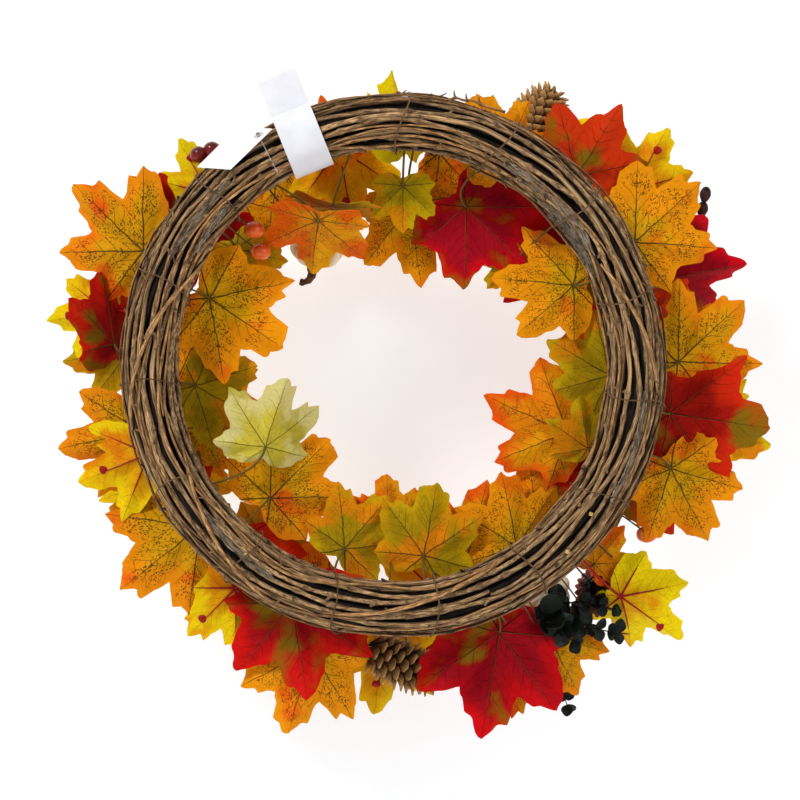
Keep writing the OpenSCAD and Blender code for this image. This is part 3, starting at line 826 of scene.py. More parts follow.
silk = {
    "gold": silk_finish("gold_silk", "#E2A210", "#F59622", "#F0642A", 0.16, "#24140A", 0.010, 1.0, 0.08),
    "yellow": silk_finish("yellow_silk", "#F0AC08", "#FFDA18", "#F28A1A", 0.24, "#8A4A06", 0.007, 0.35, 0.14),
    "red": silk_finish("red_silk", "#A40603", "#D4200A", "#7E6A0C", 0.26, "#3E0803", 0.008, 0.0, 0.05),
    "olive": silk_finish("olive_silk", "#AE900A", "#D2AC12", "#E88E12", 0.42, "#3E2A08", 0.010, 0.55, 0.12),
    "coral": silk_finish("coral_silk", "#EC9020", "#F06C36", "#F2A820", 0.42, "#4A2212", 0.009, 0.75, 0.08),
    "lime": silk_finish("lime_silk", "#DCC952", "#E8DB90", "#C2B040", 0.30, "#9A8A34", 0.009, 0.10, 0.10)}
print("silk finishes:", sorted(silk))

# %% [markdown]
# ## Leaf: the blade
# A maple blade has five lobes with a few teeth each. The outline is drawn once, as a list of angles from the
# midrib and distances from the stem's joint. A flat circle of edges takes that outline, and in edit mode it
# is extruded inward ring after ring and merged in the middle, which gives quads that run with the veins and
# bend well. It stays flat here, because each leaf is curled in its own way when it is placed.
# %% Leaf outlines
pointed_half = ((0, 1), (7, .84), (14, .84), (17, .66), (25, .52), (31, .66), (34, .82), (40, .80), (46, .93),
                (52, .79), (60, .77), (65, .58), (76, .45), (86, .54), (96, .68), (106, .53), (118, .52),
                (132, .36), (152, .24), (168, .15))
broad_half = ((0, 1), (8, .86), (15, .83), (21, .66), (27, .61), (35, .76), (40, .82), (47, .95), (54, .83),
              (62, .78), (70, .62), (80, .54), (92, .64), (101, .73), (112, .60), (126, .52), (146, .33),
              (166, .19))
# The printed blade is cut a little fuller than the plate it is fitted by.
full_half = ((0, 1), (8, .88), (14, .87), (18, .73), (25, .62), (31, .70), (35, .83), (40, .82), (46, .93),
             (52, .83), (59, .79), (65, .66), (76, .55), (86, .60), (96, .69), (105, .58), (117, .55),
             (132, .41), (152, .27), (168, .17))
full_broad = ((0, 1), (8, .88), (15, .85), (21, .72), (27, .67), (35, .78), (40, .84), (47, .95), (54, .85),
              (62, .80), (70, .67), (80, .60), (92, .67), (101, .74), (112, .63), (126, .54), (146, .36),
              (166, .21))
PER_EDGE, RINGS = 4, 11


def outline_of(half):
    """The whole outline as corner points, from the tip round by the right edge."""
    angles = np.radians([a for a, _ in half] + [-a for a, _ in half[:0:-1]])
    reach = np.array([r for _, r in half] + [r for _, r in half[:0:-1]])
    return np.stack([reach * np.sin(angles), reach * np.cos(angles)], 1)


def flat_blade(name, half):
    corners = outline_of(half)
    edge = []
    for here, there in zip(corners, np.roll(corners, -1, 0)):
        for part in np.arange(PER_EDGE) / PER_EDGE:
            spot = here + (there - here) * part
            edge.append(spot * (1 + 0.10 * part * (1 - part) * np.linalg.norm(there - here) * 2))
    nothing_selected()
    bpy.ops.mesh.primitive_circle_add(vertices=len(edge), radius=1)
    piece = made(name)
    move_points(piece, np.hstack([edge, np.zeros((len(edge), 1))]))
    bpy.ops.object.mode_set(mode="EDIT")
    bpy.ops.mesh.select_all(action="SELECT")
    inner = 1.0
    for ring in range(1, RINGS):
        size = 1 - ring / RINGS
        bpy.ops.mesh.extrude_edges_move()
        bpy.ops.transform.resize(value=(size / inner,) * 3, center_override=(0, 0, 0))
        inner = size
    bpy.ops.mesh.extrude_edges_move()
    bpy.ops.mesh.merge(type="CENTER")
    bpy.ops.object.mode_set(mode="OBJECT")
    spots = points_of(piece)
    spots[np.linalg.norm(spots, axis=1) < 0.02] = 0
    move_points(piece, spots)
    rim = np.array(edge)
    order = np.argsort(np.arctan2(rim[:, 0], rim[:, 1]))
    reach = np.linalg.norm(spots, axis=1) / np.interp(
        np.arctan2(spots[:, 0], spots[:, 1]), np.arctan2(rim[order, 0], rim[order, 1]),
        np.linalg.norm(rim[order], axis=1), period=2 * math.pi)
    mark(piece, "reach", reach)
    layer = piece.data.uv_layers[0] if piece.data.uv_layers else piece.data.uv_layers.new()
    layer.name = "Leaf"
    for loop, uv in zip(piece.data.loops, layer.data):
        uv.uv = spots[loop.vertex_index][:2]
    return piece


blades = {"pointed": flat_blade("pointed_blade", full_half), "broad": flat_blade("broad_blade", full_broad)}
halves = {"pointed": pointed_half, "broad": broad_half}
print({kind: len(blade.data.polygons) for kind, blade in blades.items()})


# %% [markdown]
# ## Leaf: where each one sits
# The frame holds a flat plate for every leaf. The plate says where the stem's joint is, which way the tip
# points and how the blade leans, and these are read back from its corners: the thin direction is the blade's
# normal, and the outline is tried along each of the plate's own axes until its corners meet the plate's.
# %% Reading a leaf's plate
def seat_of(points, half, seed):
    """The joint, the right, tip and back directions and the midrib length of one measured leaf."""
    middle, (first, second, normal) = axes_of(points)
    if normal[1] < 0:
        normal = -normal
    corners = outline_of(half)
    flat = points - middle
    scale = math.sqrt(((flat - np.outer(flat.dot(normal), normal)) ** 2).sum(1).mean()
                      / ((corners - corners.mean(0)) ** 2).sum(1).mean())
    best = None
    for tip in (first, -first, second, -second):
        right = np.cross(tip, normal)
        laid = (corners - corners.mean(0)) @ np.array([right, tip]) * scale
        miss = max(np.linalg.norm(flat - spot, axis=1).min() for spot in laid)
        if best is None or miss < best[0]:
            best = (miss, right, tip)
    miss, right, tip = best
    joint = middle - corners.mean(0) @ np.array([right, tip]) * scale
    dice = np.random.default_rng(seed)
    return dict(joint=joint, right=right, tip=tip, back=normal, midrib=scale, miss=miss,
                seed=dice.uniform(0, 1), left=dice.uniform(0.02, 0.30), other=dice.uniform(0.02, 0.30),
                bow=dice.uniform(-0.10, 0.34), twist=dice.uniform(-0.08, 0.08),
                ripple=dice.uniform(0.028, 0.055), phase=dice.uniform(0, 6.28))


def bent(leaf, right, ahead):
    """Where a spot of the flat blade lies once the leaf is curled. Both are counted in midribs.

    The halves turn away by an angle each about the midrib, and the midrib itself bows."""
    far = np.hypot(right, ahead)
    angle = np.arctan2(np.abs(right), ahead)
    nearest = np.select([angle < limit for limit in VEIN_LIMITS[:3]], VEIN_ANGLES[:3], VEIN_ANGLES[3])
    away = far * np.abs(np.sin(angle - nearest))
    crease = np.where(right < 0, leaf["left"], leaf["other"])
    lift = leaf["twist"] * right * ahead - 0.045 * (1 - np.exp(-(away / 0.10) ** 2)) * np.minimum(far * 3, 1)
    around = np.arctan2(right, ahead)
    lift += leaf["ripple"] * far ** 2 * (np.sin(5 * around + leaf["phase"]) + 0.6 * np.sin(
        11 * around + 2.3 * leaf["phase"]))
    across = right * np.cos(crease) + lift * np.sin(crease) * np.sign(right)
    lift = lift * np.cos(crease) - np.abs(right) * np.sin(crease)
    bow = leaf["bow"] if abs(leaf["bow"]) > 0.001 else 0.001
    turn = bow * ahead
    forward = np.sin(turn) / bow + lift * np.sin(turn)
    lift = lift * np.cos(turn) - (1 - np.cos(turn)) / bow
    flat = np.outer(across, leaf["right"]) + np.outer(forward, leaf["tip"]) + np.outer(lift, leaf["back"])
    return leaf["joint"] + flat * leaf["midrib"]


def kind_of(node):
    return "broad" if node.startswith("red_") else "pointed"


def colour_of(node):
    return node.split("_")[0]


leaf_nodes = sorted(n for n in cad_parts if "_leaves" in n or n == "lime_leaf")
leaves = {}
for number, node in enumerate(leaf_nodes):
    half = halves[kind_of(node)]
    found = [seat_of(points, half, 1000 + 10 * number + i) for i, points in enumerate(solids(node))]
    leaves[node] = found
    if node.endswith("_front"):
        for leaf in found:
            leaf.update(left=leaf["left"] / 2, other=leaf["other"] / 2, bow=leaf["bow"] / 3)
# The low yellow leaf on the right is folded on one side, and the coral leaf over the left pumpkin curls off it.
leaves["yellow_leaves_lower_right"][0].update(left=0.15, other=0.85)
for leaf in leaves["coral_leaves_inner"]:
    if np.linalg.norm(leaf["joint"] - flat_place(-0.064, 0.123, 0.014)) < 0.02:
        leaf.update(left=0.03, other=0.03, bow=-0.20, midrib=leaf["midrib"] * 0.9)
        print("leaf over the pumpkin found")
print("leaves:", sum(len(found) for found in leaves.values()),
      "worst corner miss in mm:", round(max(l["miss"] for found in leaves.values() for l in found) * 1000, 2))


# %% [markdown]
# ## Leaf: curling and placing the blades
# Every leaf is a copy of the flat blade. Its edge is nibbled a little so that no two are alike. Its halves are
# turned away about the midrib, the midrib bows, it is puffed between the veins and rippled towards its edge,
# and then it is set on its seat. Solidify
# gives the silk its half millimetre. The leaves are stiffened with glue and ribs and keep this shape.
# %% Placing the leaves
def place_leaf(leaf, kind, name):
    piece = copy_of(blades[kind], name)
    flat = points_of(piece)
    around = np.arctan2(flat[:, 0], flat[:, 1])
    nibble = 1 + 0.030 * np.sin(7 * around + leaf["phase"]) + 0.022 * np.sin(19 * around + 3 * leaf["phase"])
    nibble += 0.012 * np.sin(37 * around + 5 * leaf["phase"])
    right, ahead = flat[:, 0] * nibble, flat[:, 1] * nibble
    move_points(piece, bent(leaf, right, ahead))
    mark(piece, "leaf_seed", leaf["seed"])
    return piece


def leaf_group(node):
    copies = [place_leaf(leaf, kind_of(node), f"{node}_{i}") for i, leaf in enumerate(leaves[node])]
    piece = joined(f"silk_{node}", *copies)
    cloth = piece.modifiers.new("silk", "SOLIDIFY")
    cloth.thickness, cloth.offset = 0.0005, 0
    apply_modifiers(piece)
    smooth(piece, 60)
    return hand_over(piece, "wreath", f"{colour_of(node)}_leaf", silk[colour_of(node)], node)


for node in leaf_nodes:
    leaf_group(node)
for blade in blades.values():
    bpy.data.objects.remove(blade)
print("leaf pieces:", len(leaf_nodes))

# %% [markdown]
# ## Finish: moulded stems
# The ribs and stems are soft plastic, cast in one piece with the silk pressed into it. They are plain olive
# brown on most leaves and a deep, slightly glossy red on the yellow ones, with a fine mould texture.
# %% Stem finishes
def stem_finish(name, dark, light, roughness):
    material, tree, shader = new_finish(name, Specular_IOR_Level=0.22)
    spots = room_place(tree)
    weave = put(tree, "UVMap", uv_map="UVMap").outputs[0]
    streak = cloudy(tree, stretched(tree, weave, 3.0, 2.0, 1.0), 3.0, 3.0)
    grain = cloudy(tree, spots, 900.0, 2.0)
    wire_up(tree, shader, shades(tree, streak, (0.3, dark), (0.7, light)),
            fade(tree, grain, 0.3, 0.7, roughness, roughness + 0.15), plus(tree, streak, grain), 0.25, 0.0004)
    return material


red_plastic = stem_finish("red_stem_plastic", "#7A0304", "#AE0A08", 0.36)
olive_plastic = stem_finish("olive_stem_plastic", "#3E300E", "#7C6A22", 0.42)
print("stem finishes:", red_plastic.name, olive_plastic.name)


# %% [markdown]
# ## Leaf: ribs and stems
# Behind the blade a rib runs out along each main vein, and all of them meet in the stem, which bends back
# into the vines. Ribs are laid on the curled leaf with the same sum that curled it, so they touch it all the
# way. The stem is a soft curve from the joint to the place where it is pushed into the ring's open front.
# %% Stem routes
def stem_root(joint):
    """Where a stem enters the vines: straight in, but clear of the paper sleeve's path."""
    right, up = -joint[0], joint[2] - RING_Z
    clock = math.degrees(math.atan2(right, up))
    off = clock - SLEEVE_CLOCK
    if abs(off) < 12.5:
        clock = SLEEVE_CLOCK + math.copysign(13.0, off)
    reach = math.hypot(right, up) - RING_R
    radius = RING_R + max(-0.006, min(0.006, reach / 5))
    clock = math.radians(clock)
    return np.array([-radius * math.sin(clock), -0.008 + joint[1] / 16, RING_Z + radius * math.cos(clock)])


def soft_curve(ends, steps):
    start, lean_out, lean_in, end = ends
    t = np.linspace(0, 1, steps)[:, None]
    return ((1 - t) ** 3 * start + 3 * t * (1 - t) ** 2 * lean_out + 3 * t ** 2 * (1 - t) * lean_in
            + t ** 3 * end)


def stem_and_ribs(leaf, half, strong):
    reach = dict((round(a), r) for a, r in half)
    tips = (1.0, reach.get(46, reach.get(47)), reach.get(96, reach.get(101)))
    runs = []
    thickness = 0.00110 if strong else 0.00022
    for angle, tip in zip(VEIN_ANGLES[:3], tips):
        for side in ((1,) if angle == 0 else (1, -1)):
            far = np.linspace(0, tip * (0.62 if strong else 0.85), 14)
            route = bent(leaf, side * far * math.sin(angle), far * math.cos(angle))
            radii = thickness * np.linspace(1, 0.35, 14)
            route += np.outer(radii * 0.5 + 0.0002, leaf["back"])
            runs.append((route, radii, leaf["seed"], np.zeros(14)))
    joint, root = leaf["joint"], stem_root(leaf["joint"])
    gap = np.linalg.norm(root - joint)
    lean_out = joint - leaf["tip"] * gap * 0.38 + leaf["back"] * 0.003
    lean_in = root + (joint - root) * 0.25 + np.array([0, -0.003, 0])
    taper = np.interp(np.linspace(0, 1, 22), [0, 0.08, 0.9, 1], [1.0, 1.0, 0.95, 0.9])
    radii = taper * (0.0014 if strong else 0.0010)
    route = soft_curve((joint + leaf["back"] * 0.0006, lean_out, lean_in, root), 22)
    runs.append((route, radii, leaf["seed"], np.zeros(22)))
    return runs


def button(leaf):
    """The moulded knob at the end of a strong leaf's longest rib."""
    nothing_selected()
    bpy.ops.mesh.primitive_uv_sphere_add(segments=14, ring_count=8, radius=1)
    piece = made("button")
    centre = bent(leaf, np.array([0.03]), np.array([0.64]))[0] + leaf["back"] * 0.0012
    round_ = points_of(piece)
    round_[:, 2] *= 0.5 + 0.12 * (round_[:, 0] ** 2 + round_[:, 1] ** 2)
    frame_of = np.array([leaf["right"], leaf["tip"], leaf["back"]])
    round_[:, 0] *= 1.1 + 0.35 * round_[:, 1]
    move_points(piece, centre + round_ @ frame_of * 0.0034)
    mark(piece, "tone", leaf["seed"])
    mark(piece, "knot", 0.0)
    return smooth(piece)


stem_nodes = {"leaf_stems_front": [n for n in leaf_nodes if n.endswith("_front")],
              "leaf_stems_inner": [n for n in leaf_nodes if "_inner" in n or n == "lime_leaf"]}
stem_nodes["leaf_stems_outer"] = [n for n in leaf_nodes if n not in sum(stem_nodes.values(), [])]
for stem_node, members in sorted(stem_nodes.items()):
    for strong, finish in ((True, red_plastic), (False, olive_plastic)):
        chosen = [(node, leaf) for node in members for leaf in leaves[node]
                  if (colour_of(node) == "yellow") == strong]
        if not chosen:
            continue
        runs = sum((stem_and_ribs(leaf, halves[kind_of(node)], strong) for node, leaf in chosen), [])
        name = f"{stem_node}_{'red' if strong else 'olive'}"
        parts = [tubes(name, runs, sides=6)] + ([button(leaf) for _, leaf in chosen] if strong else [])
        piece = joined(name, *parts)
        hand_over(piece, "wreath", "leaf_stem", finish, stem_node)
        print(piece.name, len(runs), "strands")

# %% [markdown]
# ## Finish: wood of the cones
# A pine scale is dark brown where it joins the cone and tan at its worn tip, with fine lines along it. Each
# scale carries the distance from its root as an attribute, so the colour change sits on every scale alike.
# %% Cone finishes
def cone_finish(name, root, middle, tip):
    material, tree, shader = new_finish(name, Specular_IOR_Level=0.12)
    place = room_place(tree)
    reach = stored(tree, "reach")
    tone = stored(tree, "tone")
    grain = cloudy(tree, place, 420.0, 4.0)
    mask = plus(tree, reach, times(tree, minus(tree, grain, 0.5), 0.5))
    colour = shades(tree, mask, (0.15, root), (0.55, middle), (0.95, tip))
    colour = put(tree, "HueSaturation", ("Value", plus(tree, 0.75, times(tree, tone, 0.5))),
                 ("Color", colour)).outputs[0]
    wire_up(tree, shader, colour, fade(tree, grain, 0.3, 0.7, 0.75, 0.5), grain, 0.6, 0.0006)
    return material


cone_wood = cone_finish("cone_wood", "#160B05", "#5E3D1F", "#B58A54")
dark_cone_wood = cone_finish("dark_cone_wood", "#0E0302", "#42140A", "#8A4426")
print("cone finishes:", cone_wood.name, dark_cone_wood.name)

# %% [markdown]
# ## Pine cones: one scale
# A cone has seventy or more scales that are all alike, so one is made and copied. It starts as a small flat
# grid, is drawn to a rounded paddle that narrows at its root, is cupped, and gets a thick lip at the tip.
# %% One scale
nothing_selected()
bpy.ops.mesh.primitive_grid_add(x_subdivisions=4, y_subdivisions=5, size=2)
scale = made("one_scale")
flat = points_of(scale)
across, along = flat[:, 0], (flat[:, 1] + 1) / 2
wide = np.interp(along, [0, 0.3, 0.6, 0.85, 1.0], [0.26, 0.40, 0.52, 0.46, 0.16])
lip = 0.10 * np.exp(-((along - 0.93) / 0.1) ** 2) * (1 - across ** 2)
dish = -0.16 * (across * wide * 2) ** 2 + 0.12 * along ** 2 + lip
move_points(scale, np.stack([across * wide, along + 0.06 * (1 - across ** 2) * along, dish], 1))
mark(scale, "reach", along)
wall = scale.modifiers.new("wood", "SOLIDIFY")
wall.thickness, wall.offset = 0.10, 0
apply_modifiers(scale)
smooth(scale, 50)
print("faces on one scale:", len(scale.data.polygons))


# %% [markdown]
# ## Pine cones: setting the scales
# Scales grow in a spiral of 137.5 degrees from one to the next. Low scales stand open and the ones near the
# tip lie shut. A dark core fills the cone, so one never sees through it. The base, direction and size of each
# cone are read from its measured solid, whose own axis is the one direction its spread isn't shared with.
# %% Cones
def own_axis(points):
    """The middle of a round solid and the direction that it is round about."""
    middle, directions = axes_of(points)
    spread = ((points - middle) @ directions.T).std(0)
    return middle, directions[0] if spread[0] - spread[1] > spread[1] - spread[2] else directions[2]


def round_axis(points):
    """Base, direction, length and largest radius of a round solid that is widest near its base."""
    middle, way = own_axis(points)
    along = (points - middle) @ way
    radius = np.linalg.norm(points - middle - np.outer(along, way), axis=1)
    if along[radius.argmax()] > (along.max() + along.min()) / 2:
        way, along = -way, -along
    return middle + way * along.min(), way, along.max() - along.min(), radius.max()


def sideways(way):
    side = np.cross(way, [0.3, 0.9, 0.2])
    side /= np.linalg.norm(side)
    return side, np.cross(way, side)


def girth(t):
    return math.sqrt(max(0.10, 1 - ((t - 0.35) / 0.72) ** 2))


def pine_cone(node, count, shut, opened, slot, finish, worn=(0.2, 0.9)):
    base, way, length, radius = round_axis(solids(node)[0])
    side, other = sideways(way)
    nothing_selected()
    bpy.ops.mesh.primitive_uv_sphere_add(segments=16, ring_count=10, radius=1)
    core = made(f"{node}_core")
    ball = points_of(core)
    rise = (ball[:, 2] + 1) / 2
    move_points(core, base + np.outer(rise * length * 0.92, way)
                + (np.outer(ball[:, 0], side) + np.outer(ball[:, 1], other)) * radius * 0.62)
    mark(core, "reach", 0.0)
    mark(core, "tone", 0.2)
    parts = [core]
    pitch = math.sqrt(2 * math.pi * radius * 0.8 * length / count)
    dice = np.random.default_rng(len(node) * 7)
    for i in range(count):
        t = (i + 0.5) / count
        turn = i * math.radians(137.5)
        out = side * math.cos(turn) + other * math.sin(turn)
        lean = math.radians(opened + (shut - opened) * t ** 0.7) * dice.uniform(0.92, 1.08)
        ahead = way * math.cos(lean) + out * math.sin(lean)
        across = np.cross(ahead, out)
        across /= np.linalg.norm(across)
        long = radius * (0.42 + 0.42 * girth(t))
        root = base + way * (length * (0.02 + 0.90 * t) - long * math.cos(lean) * 0.75) + out * (
            radius * girth(t) - long * math.sin(lean))
        one = copy_of(scale, f"{node}_{i}")
        spots = points_of(one) * [pitch * 1.15 * girth(t), long, long * 0.8]
        move_points(one, root + np.outer(spots[:, 0], across) + np.outer(spots[:, 1], ahead)
                    + np.outer(spots[:, 2], np.cross(across, ahead)))
        mark(one, "tone", dice.uniform(*worn))
        parts.append(one)
    piece = joined(f"scaled_{node}", *parts)
    return hand_over(piece, "wreath", slot, finish, node)


pine_cone("pinecone_top", 95, 24, 38, "pinecone", cone_wood, (0.6, 1.0))
pine_cone("pinecone_bottom", 80, 34, 58, "pinecone", cone_wood, (0.0, 0.6))
pine_cone("pinecone_dark", 80, 20, 40, "pinecone_dark", dark_cone_wood)
pine_cone("pinecone_small", 60, 30, 55, "pinecone", cone_wood)
bpy.data.objects.remove(scale)

# %% [markdown]
# ## Finish: pumpkin skin and stem
# The small pumpkins are foam with a cream paint: paler on the ribs, darker in the grooves, with short rusty
# flecks brushed along the ribs. Their stems are dark brown with long ridges.
# %% Pumpkin finishes
pumpkin_skin, tree, shader = new_finish("pumpkin_skin", Specular_IOR_Level=0.3)
place = room_place(tree)
groove = stored(tree, "groove")
rise = stored(tree, "rise")
patchy = cloudy(tree, place, 90.0, 4.0)
flecks = cloudy(tree, put(tree, "CombineXYZ", (0, times(tree, rise, 3.0)), (1, patchy)).outputs[0], 4.0, 5.0)
# Darker towards the bottom of each groove, and in soft random patches.
groove_and_mottle = plus(tree, times(tree, groove, 0.75), times(tree, patchy, 0.35))
colour = shades(tree, groove_and_mottle, (0.15, "#EFE2C6"), (0.55, "#D8BE90"), (0.95, "#9C6E3C"))
rust = times(tree, fade(tree, cloudy(tree, place, 160.0, 3.0), 0.60, 0.68), fade(tree, flecks, 0.45, 0.6))
colour = blend_colours(tree, times(tree, rust, 0.8), colour, tint("#9A5A22"))
wire_up(tree, shader, colour, fade(tree, patchy, 0.3, 0.7, 0.6, 0.8), patchy, 0.35, 0.0006)
pumpkin_wood = bark_finish("pumpkin_stem_wood", "#1E0E07", "#4C2A17", "#7A4E2C", 0.9)
print("pumpkin finishes:", pumpkin_skin.name, pumpkin_wood.name)

# %% [markdown]
# ## Pumpkins
# A pumpkin is a squat ball with eight ribs that meet in a dimple at the top and the bottom. A ball with many
# segments is pressed flat and its rings are drawn in along eight grooves, deepest at the waist. The stem
# leaves the dimple along the pumpkin's own axis, bends over and ends in a cut knob.
# %% Pumpkins and their stems
def pumpkin(node):
    skin = np.vstack(solids(node))
    stem = np.vstack(solids(f"{node}_stem"))
    middle, way = own_axis(skin)
    if (stem.mean(0) - (skin.max(0) + skin.min(0)) / 2).dot(way) < 0:
        way = -way
    rise = (skin - middle) @ way
    radius = np.linalg.norm(skin - middle - np.outer(rise, way), axis=1).max()
    tall = (rise.max() - rise.min()) / 2 * 1.12
    nothing_selected()
    bpy.ops.mesh.primitive_uv_sphere_add(segments=72, ring_count=36, radius=1)
    piece = made(f"ribbed_{node}")
    ball = points_of(piece)
    around = np.arctan2(ball[:, 1], ball[:, 0])
    groove = np.abs(np.cos(4 * around + 0.15 * np.sin(2 * around))) ** 0.55
    waist = np.sqrt(np.maximum(0, 1 - ball[:, 2] ** 2))
    drawn = 1 - 0.16 * (1 - groove)
    dimple = 0.30 * np.exp(-(waist / 0.30) ** 2) * np.sign(ball[:, 2])
    side, other = sideways(way)
    lump = 1 + 0.03 * np.sin(3 * around + 1)
    move_points(piece, middle + (np.outer(ball[:, 0], side) + np.outer(ball[:, 1], other)) * radius
                * (drawn * lump)[:, None]
                + np.outer((ball[:, 2] * (0.9 + 0.1 * groove) - dimple) * tall, way))
    mark(piece, "groove", (1 - groove) * np.minimum(1, waist * 1.5))
    mark(piece, "rise", ball[:, 2])
    smooth(piece)
    hand_over(piece, "wreath", "pumpkin", pumpkin_skin, node)
    start = middle + way * tall * 0.55
    end = stem[np.linalg.norm(stem - middle, axis=1).argmax()]
    bow = np.cross(way, np.cross(end - start, way))
    bow = bow / max(np.linalg.norm(bow), 1e-6)
    long = np.linalg.norm(end - start)
    route = soft_curve((start, start + way * long * 0.75 - bow * long * 0.10, end - bow * long * 0.30,
                        end + bow * 0.001), 40)
    part = np.linspace(0, 1, 40)
    radii = radius * np.interp(part, [0, 0.10, 0.35, 0.8, 0.93, 1], [0.34, 0.25, 0.16, 0.11, 0.15, 0.13])
    stalk = tubes(f"ridged_{node}_stem", [(route, radii, 0.5, np.interp(part, [0.9, 1], [0, 0.7]))], sides=12,
                  ridges=0.28)
    hand_over(stalk, "wreath", "pumpkin_stem", pumpkin_wood, f"{node}_stem")
    print(node, "radius mm", round(radius * 1000, 1), "stem mm", round(long * 1000, 1))


pumpkin("pumpkin_left")
pumpkin("pumpkin_right")


# %% [markdown]
# ## Finish: berries, pods and sprigs
# Berries and hips are glossy painted foam, darker round the stalk. Seed pods are almost black with a dry
# sheen. The eucalyptus is dark green, with a grey bloom that lies in patches.
# %% Fruit and sprig finishes
def painted_finish(name, dark, light, bloom, roughness, coat):
    material, tree, shader = new_finish(name, Coat_Roughness=0.15, Specular_IOR_Level=0.15)
    shader.inputs["Coat Weight"].default_value = coat
    place = room_place(tree)
    reach = stored(tree, "reach")
    cloud = cloudy(tree, place, 130.0, 3.0)
    mask = plus(tree, times(tree, reach, 0.6), times(tree, cloud, 0.6))
    colour = shades(tree, mask, (0.25, dark), (0.75, light))
    dusty = fade(tree, cloudy(tree, place, 60.0, 4.0), 0.56, 0.70, 0.0, 0.8)
    colour = blend_colours(tree, dusty, colour, tint(bloom))
    wire_up(tree, shader, colour, fade(tree, cloud, 0.3, 0.7, roughness, roughness + 0.2),
            cloudy(tree, place, 700.0, 2.0), 0.2, 0.0004)
    return material


hip_paint = painted_finish("hip_paint", "#380A0A", "#7E1C18", "#8E3A24", 0.25, 0.3)
berry_paint = painted_finish("berry_paint", "#B0260C", "#E8621E", "#F6B24A", 0.22, 0.5)
pod_skin = painted_finish("pod_skin", "#0E0807", "#3A1C14", "#5A3424", 0.5, 0.1)
sprig_skin = painted_finish("sprig_skin", "#040605", "#0E150F", "#34433A", 0.42, 0.05)
print("fruit finishes:", hip_paint.name, berry_paint.name, pod_skin.name, sprig_skin.name)

# %% [markdown]
# ## Berries, hips and pods
# All of these are a stretched ball with something at the end: a small dried crown on a berry or hip, a split
# on a pod. The crown is made by insetting the faces round the pole and pulling them out. Each fruit is then
# copied to the place, direction and size of its measured solid.
# %% Fruit shapes
def fruit_shape(name, crown, split):
    nothing_selected()
    bpy.ops.mesh.primitive_uv_sphere_add(segments=20, ring_count=14, radius=1)
    piece = made(name)
    ball = points_of(piece)
    around = np.arctan2(ball[:, 1], ball[:, 0])
    waist = np.sqrt(np.maximum(0, 1 - ball[:, 2] ** 2))
    if split:
        ball[:, :2] *= (1 - 0.22 * np.exp(-(np.abs(np.sin(1.5 * around)) / 0.2) ** 2) * waist)[:, None]
        ball[:, :2] *= (1 - 0.30 * np.maximum(0, ball[:, 2]))[:, None]
    move_points(piece, ball)
    mark(piece, "reach", (ball[:, 2] + 1) / 2)
    if crown:
        for face in piece.data.polygons:
            face.select = face.center[2] > 0.93
        bpy.ops.object.mode_set(mode="EDIT")
        bpy.ops.mesh.select_mode(type="FACE")
        bpy.ops.mesh.inset(thickness=0.06)
        bpy.ops.mesh.extrude_region_move(TRANSFORM_OT_translate={"value": (0, 0, 0.22)})
        bpy.ops.transform.resize(value=(1.5, 1.5, 1), center_override=(0, 0, 1.2))
        bpy.ops.mesh.inset(thickness=0.05)
        bpy.ops.mesh.extrude_region_move(TRANSFORM_OT_translate={"value": (0, 0, -0.18)})
        bpy.ops.object.mode_set(mode="OBJECT")
    return smooth(piece, 45)


crowned, split_pod = fruit_shape("crowned", True, False), fruit_shape("split", False, True)


def set_fruit(name, shape, node, slot, finish, stretch):
    parts = []
    for number, points in enumerate(solids(node)):
        middle = (points.max(0) + points.min(0)) / 2
        _, directions = axes_of(points)
        sizes = np.ptp((points - middle) @ directions.T, axis=0) / 2
        pair = sizes[0] > 1.9 * sizes[2]
        for place in ((-0.5, 0.5) if pair else (0,)):
            way = directions[0] if directions[0][2] < 0 else -directions[0]
            side, other = sideways(way)
            one = copy_of(shape, f"{name}_{number}_{place}")
            spots = points_of(one)
            move_points(one, middle + directions[0] * place * sizes[0] + (
                np.outer(spots[:, 0], side) + np.outer(spots[:, 1], other)) * sizes[2]
                + np.outer(spots[:, 2], way) * sizes[2] * stretch)
            parts.append(one)
    piece = joined(name, *parts)
    print(name, len(parts))
    return hand_over(piece, "wreath", slot, finish, node)


set_fruit("crowned_hips", crowned, "rosehips", "rosehip", hip_paint, 1.3)
set_fruit("crowned_berries", crowned, "berries", "berry", berry_paint, 1.1)
set_fruit("split_pods", split_pod, "seed_pods", "seed_pod", pod_skin, 1.45)
bpy.data.objects.remove(crowned)
bpy.data.objects.remove(split_pod)

# %% [markdown]
# ## Eucalyptus: leaf and sprigs
# The dark sprigs carry round leaves in pairs on a thin stem. One leaf is a disc that is drawn to a short
# point, folded a little along its middle and given a thickness. It is copied in pairs along each sprig,
# larger low down and smaller at the tip.
# %% One eucalyptus leaf
nothing_selected()
bpy.ops.mesh.primitive_circle_add(vertices=20, radius=1, fill_type="TRIFAN")
disc = made("one_disc")
bpy.ops.object.mode_set(mode="EDIT")
bpy.ops.mesh.select_all(action="SELECT")
bpy.ops.mesh.subdivide(number_cuts=1)
bpy.ops.object.mode_set(mode="OBJECT")
flat = points_of(disc)
flat[:, 1] += 1
flat[:, 0] *= np.interp(flat[:, 1], [0, 0.5, 1.2, 2.0], [0.75, 0.95, 1.0, 0.72])
mark(disc, "reach", flat[:, 1] / 2)
flat[:, 2] = 0.16 * np.abs(flat[:, 0]) - 0.10 * (flat[:, 1] - 1) ** 2
move_points(disc, flat)
skin = disc.modifiers.new("leaf", "SOLIDIFY")
skin.thickness, skin.offset = 0.09, 0
apply_modifiers(disc)
smooth(disc, 50)
print("faces on one leaf:", len(disc.data.polygons))


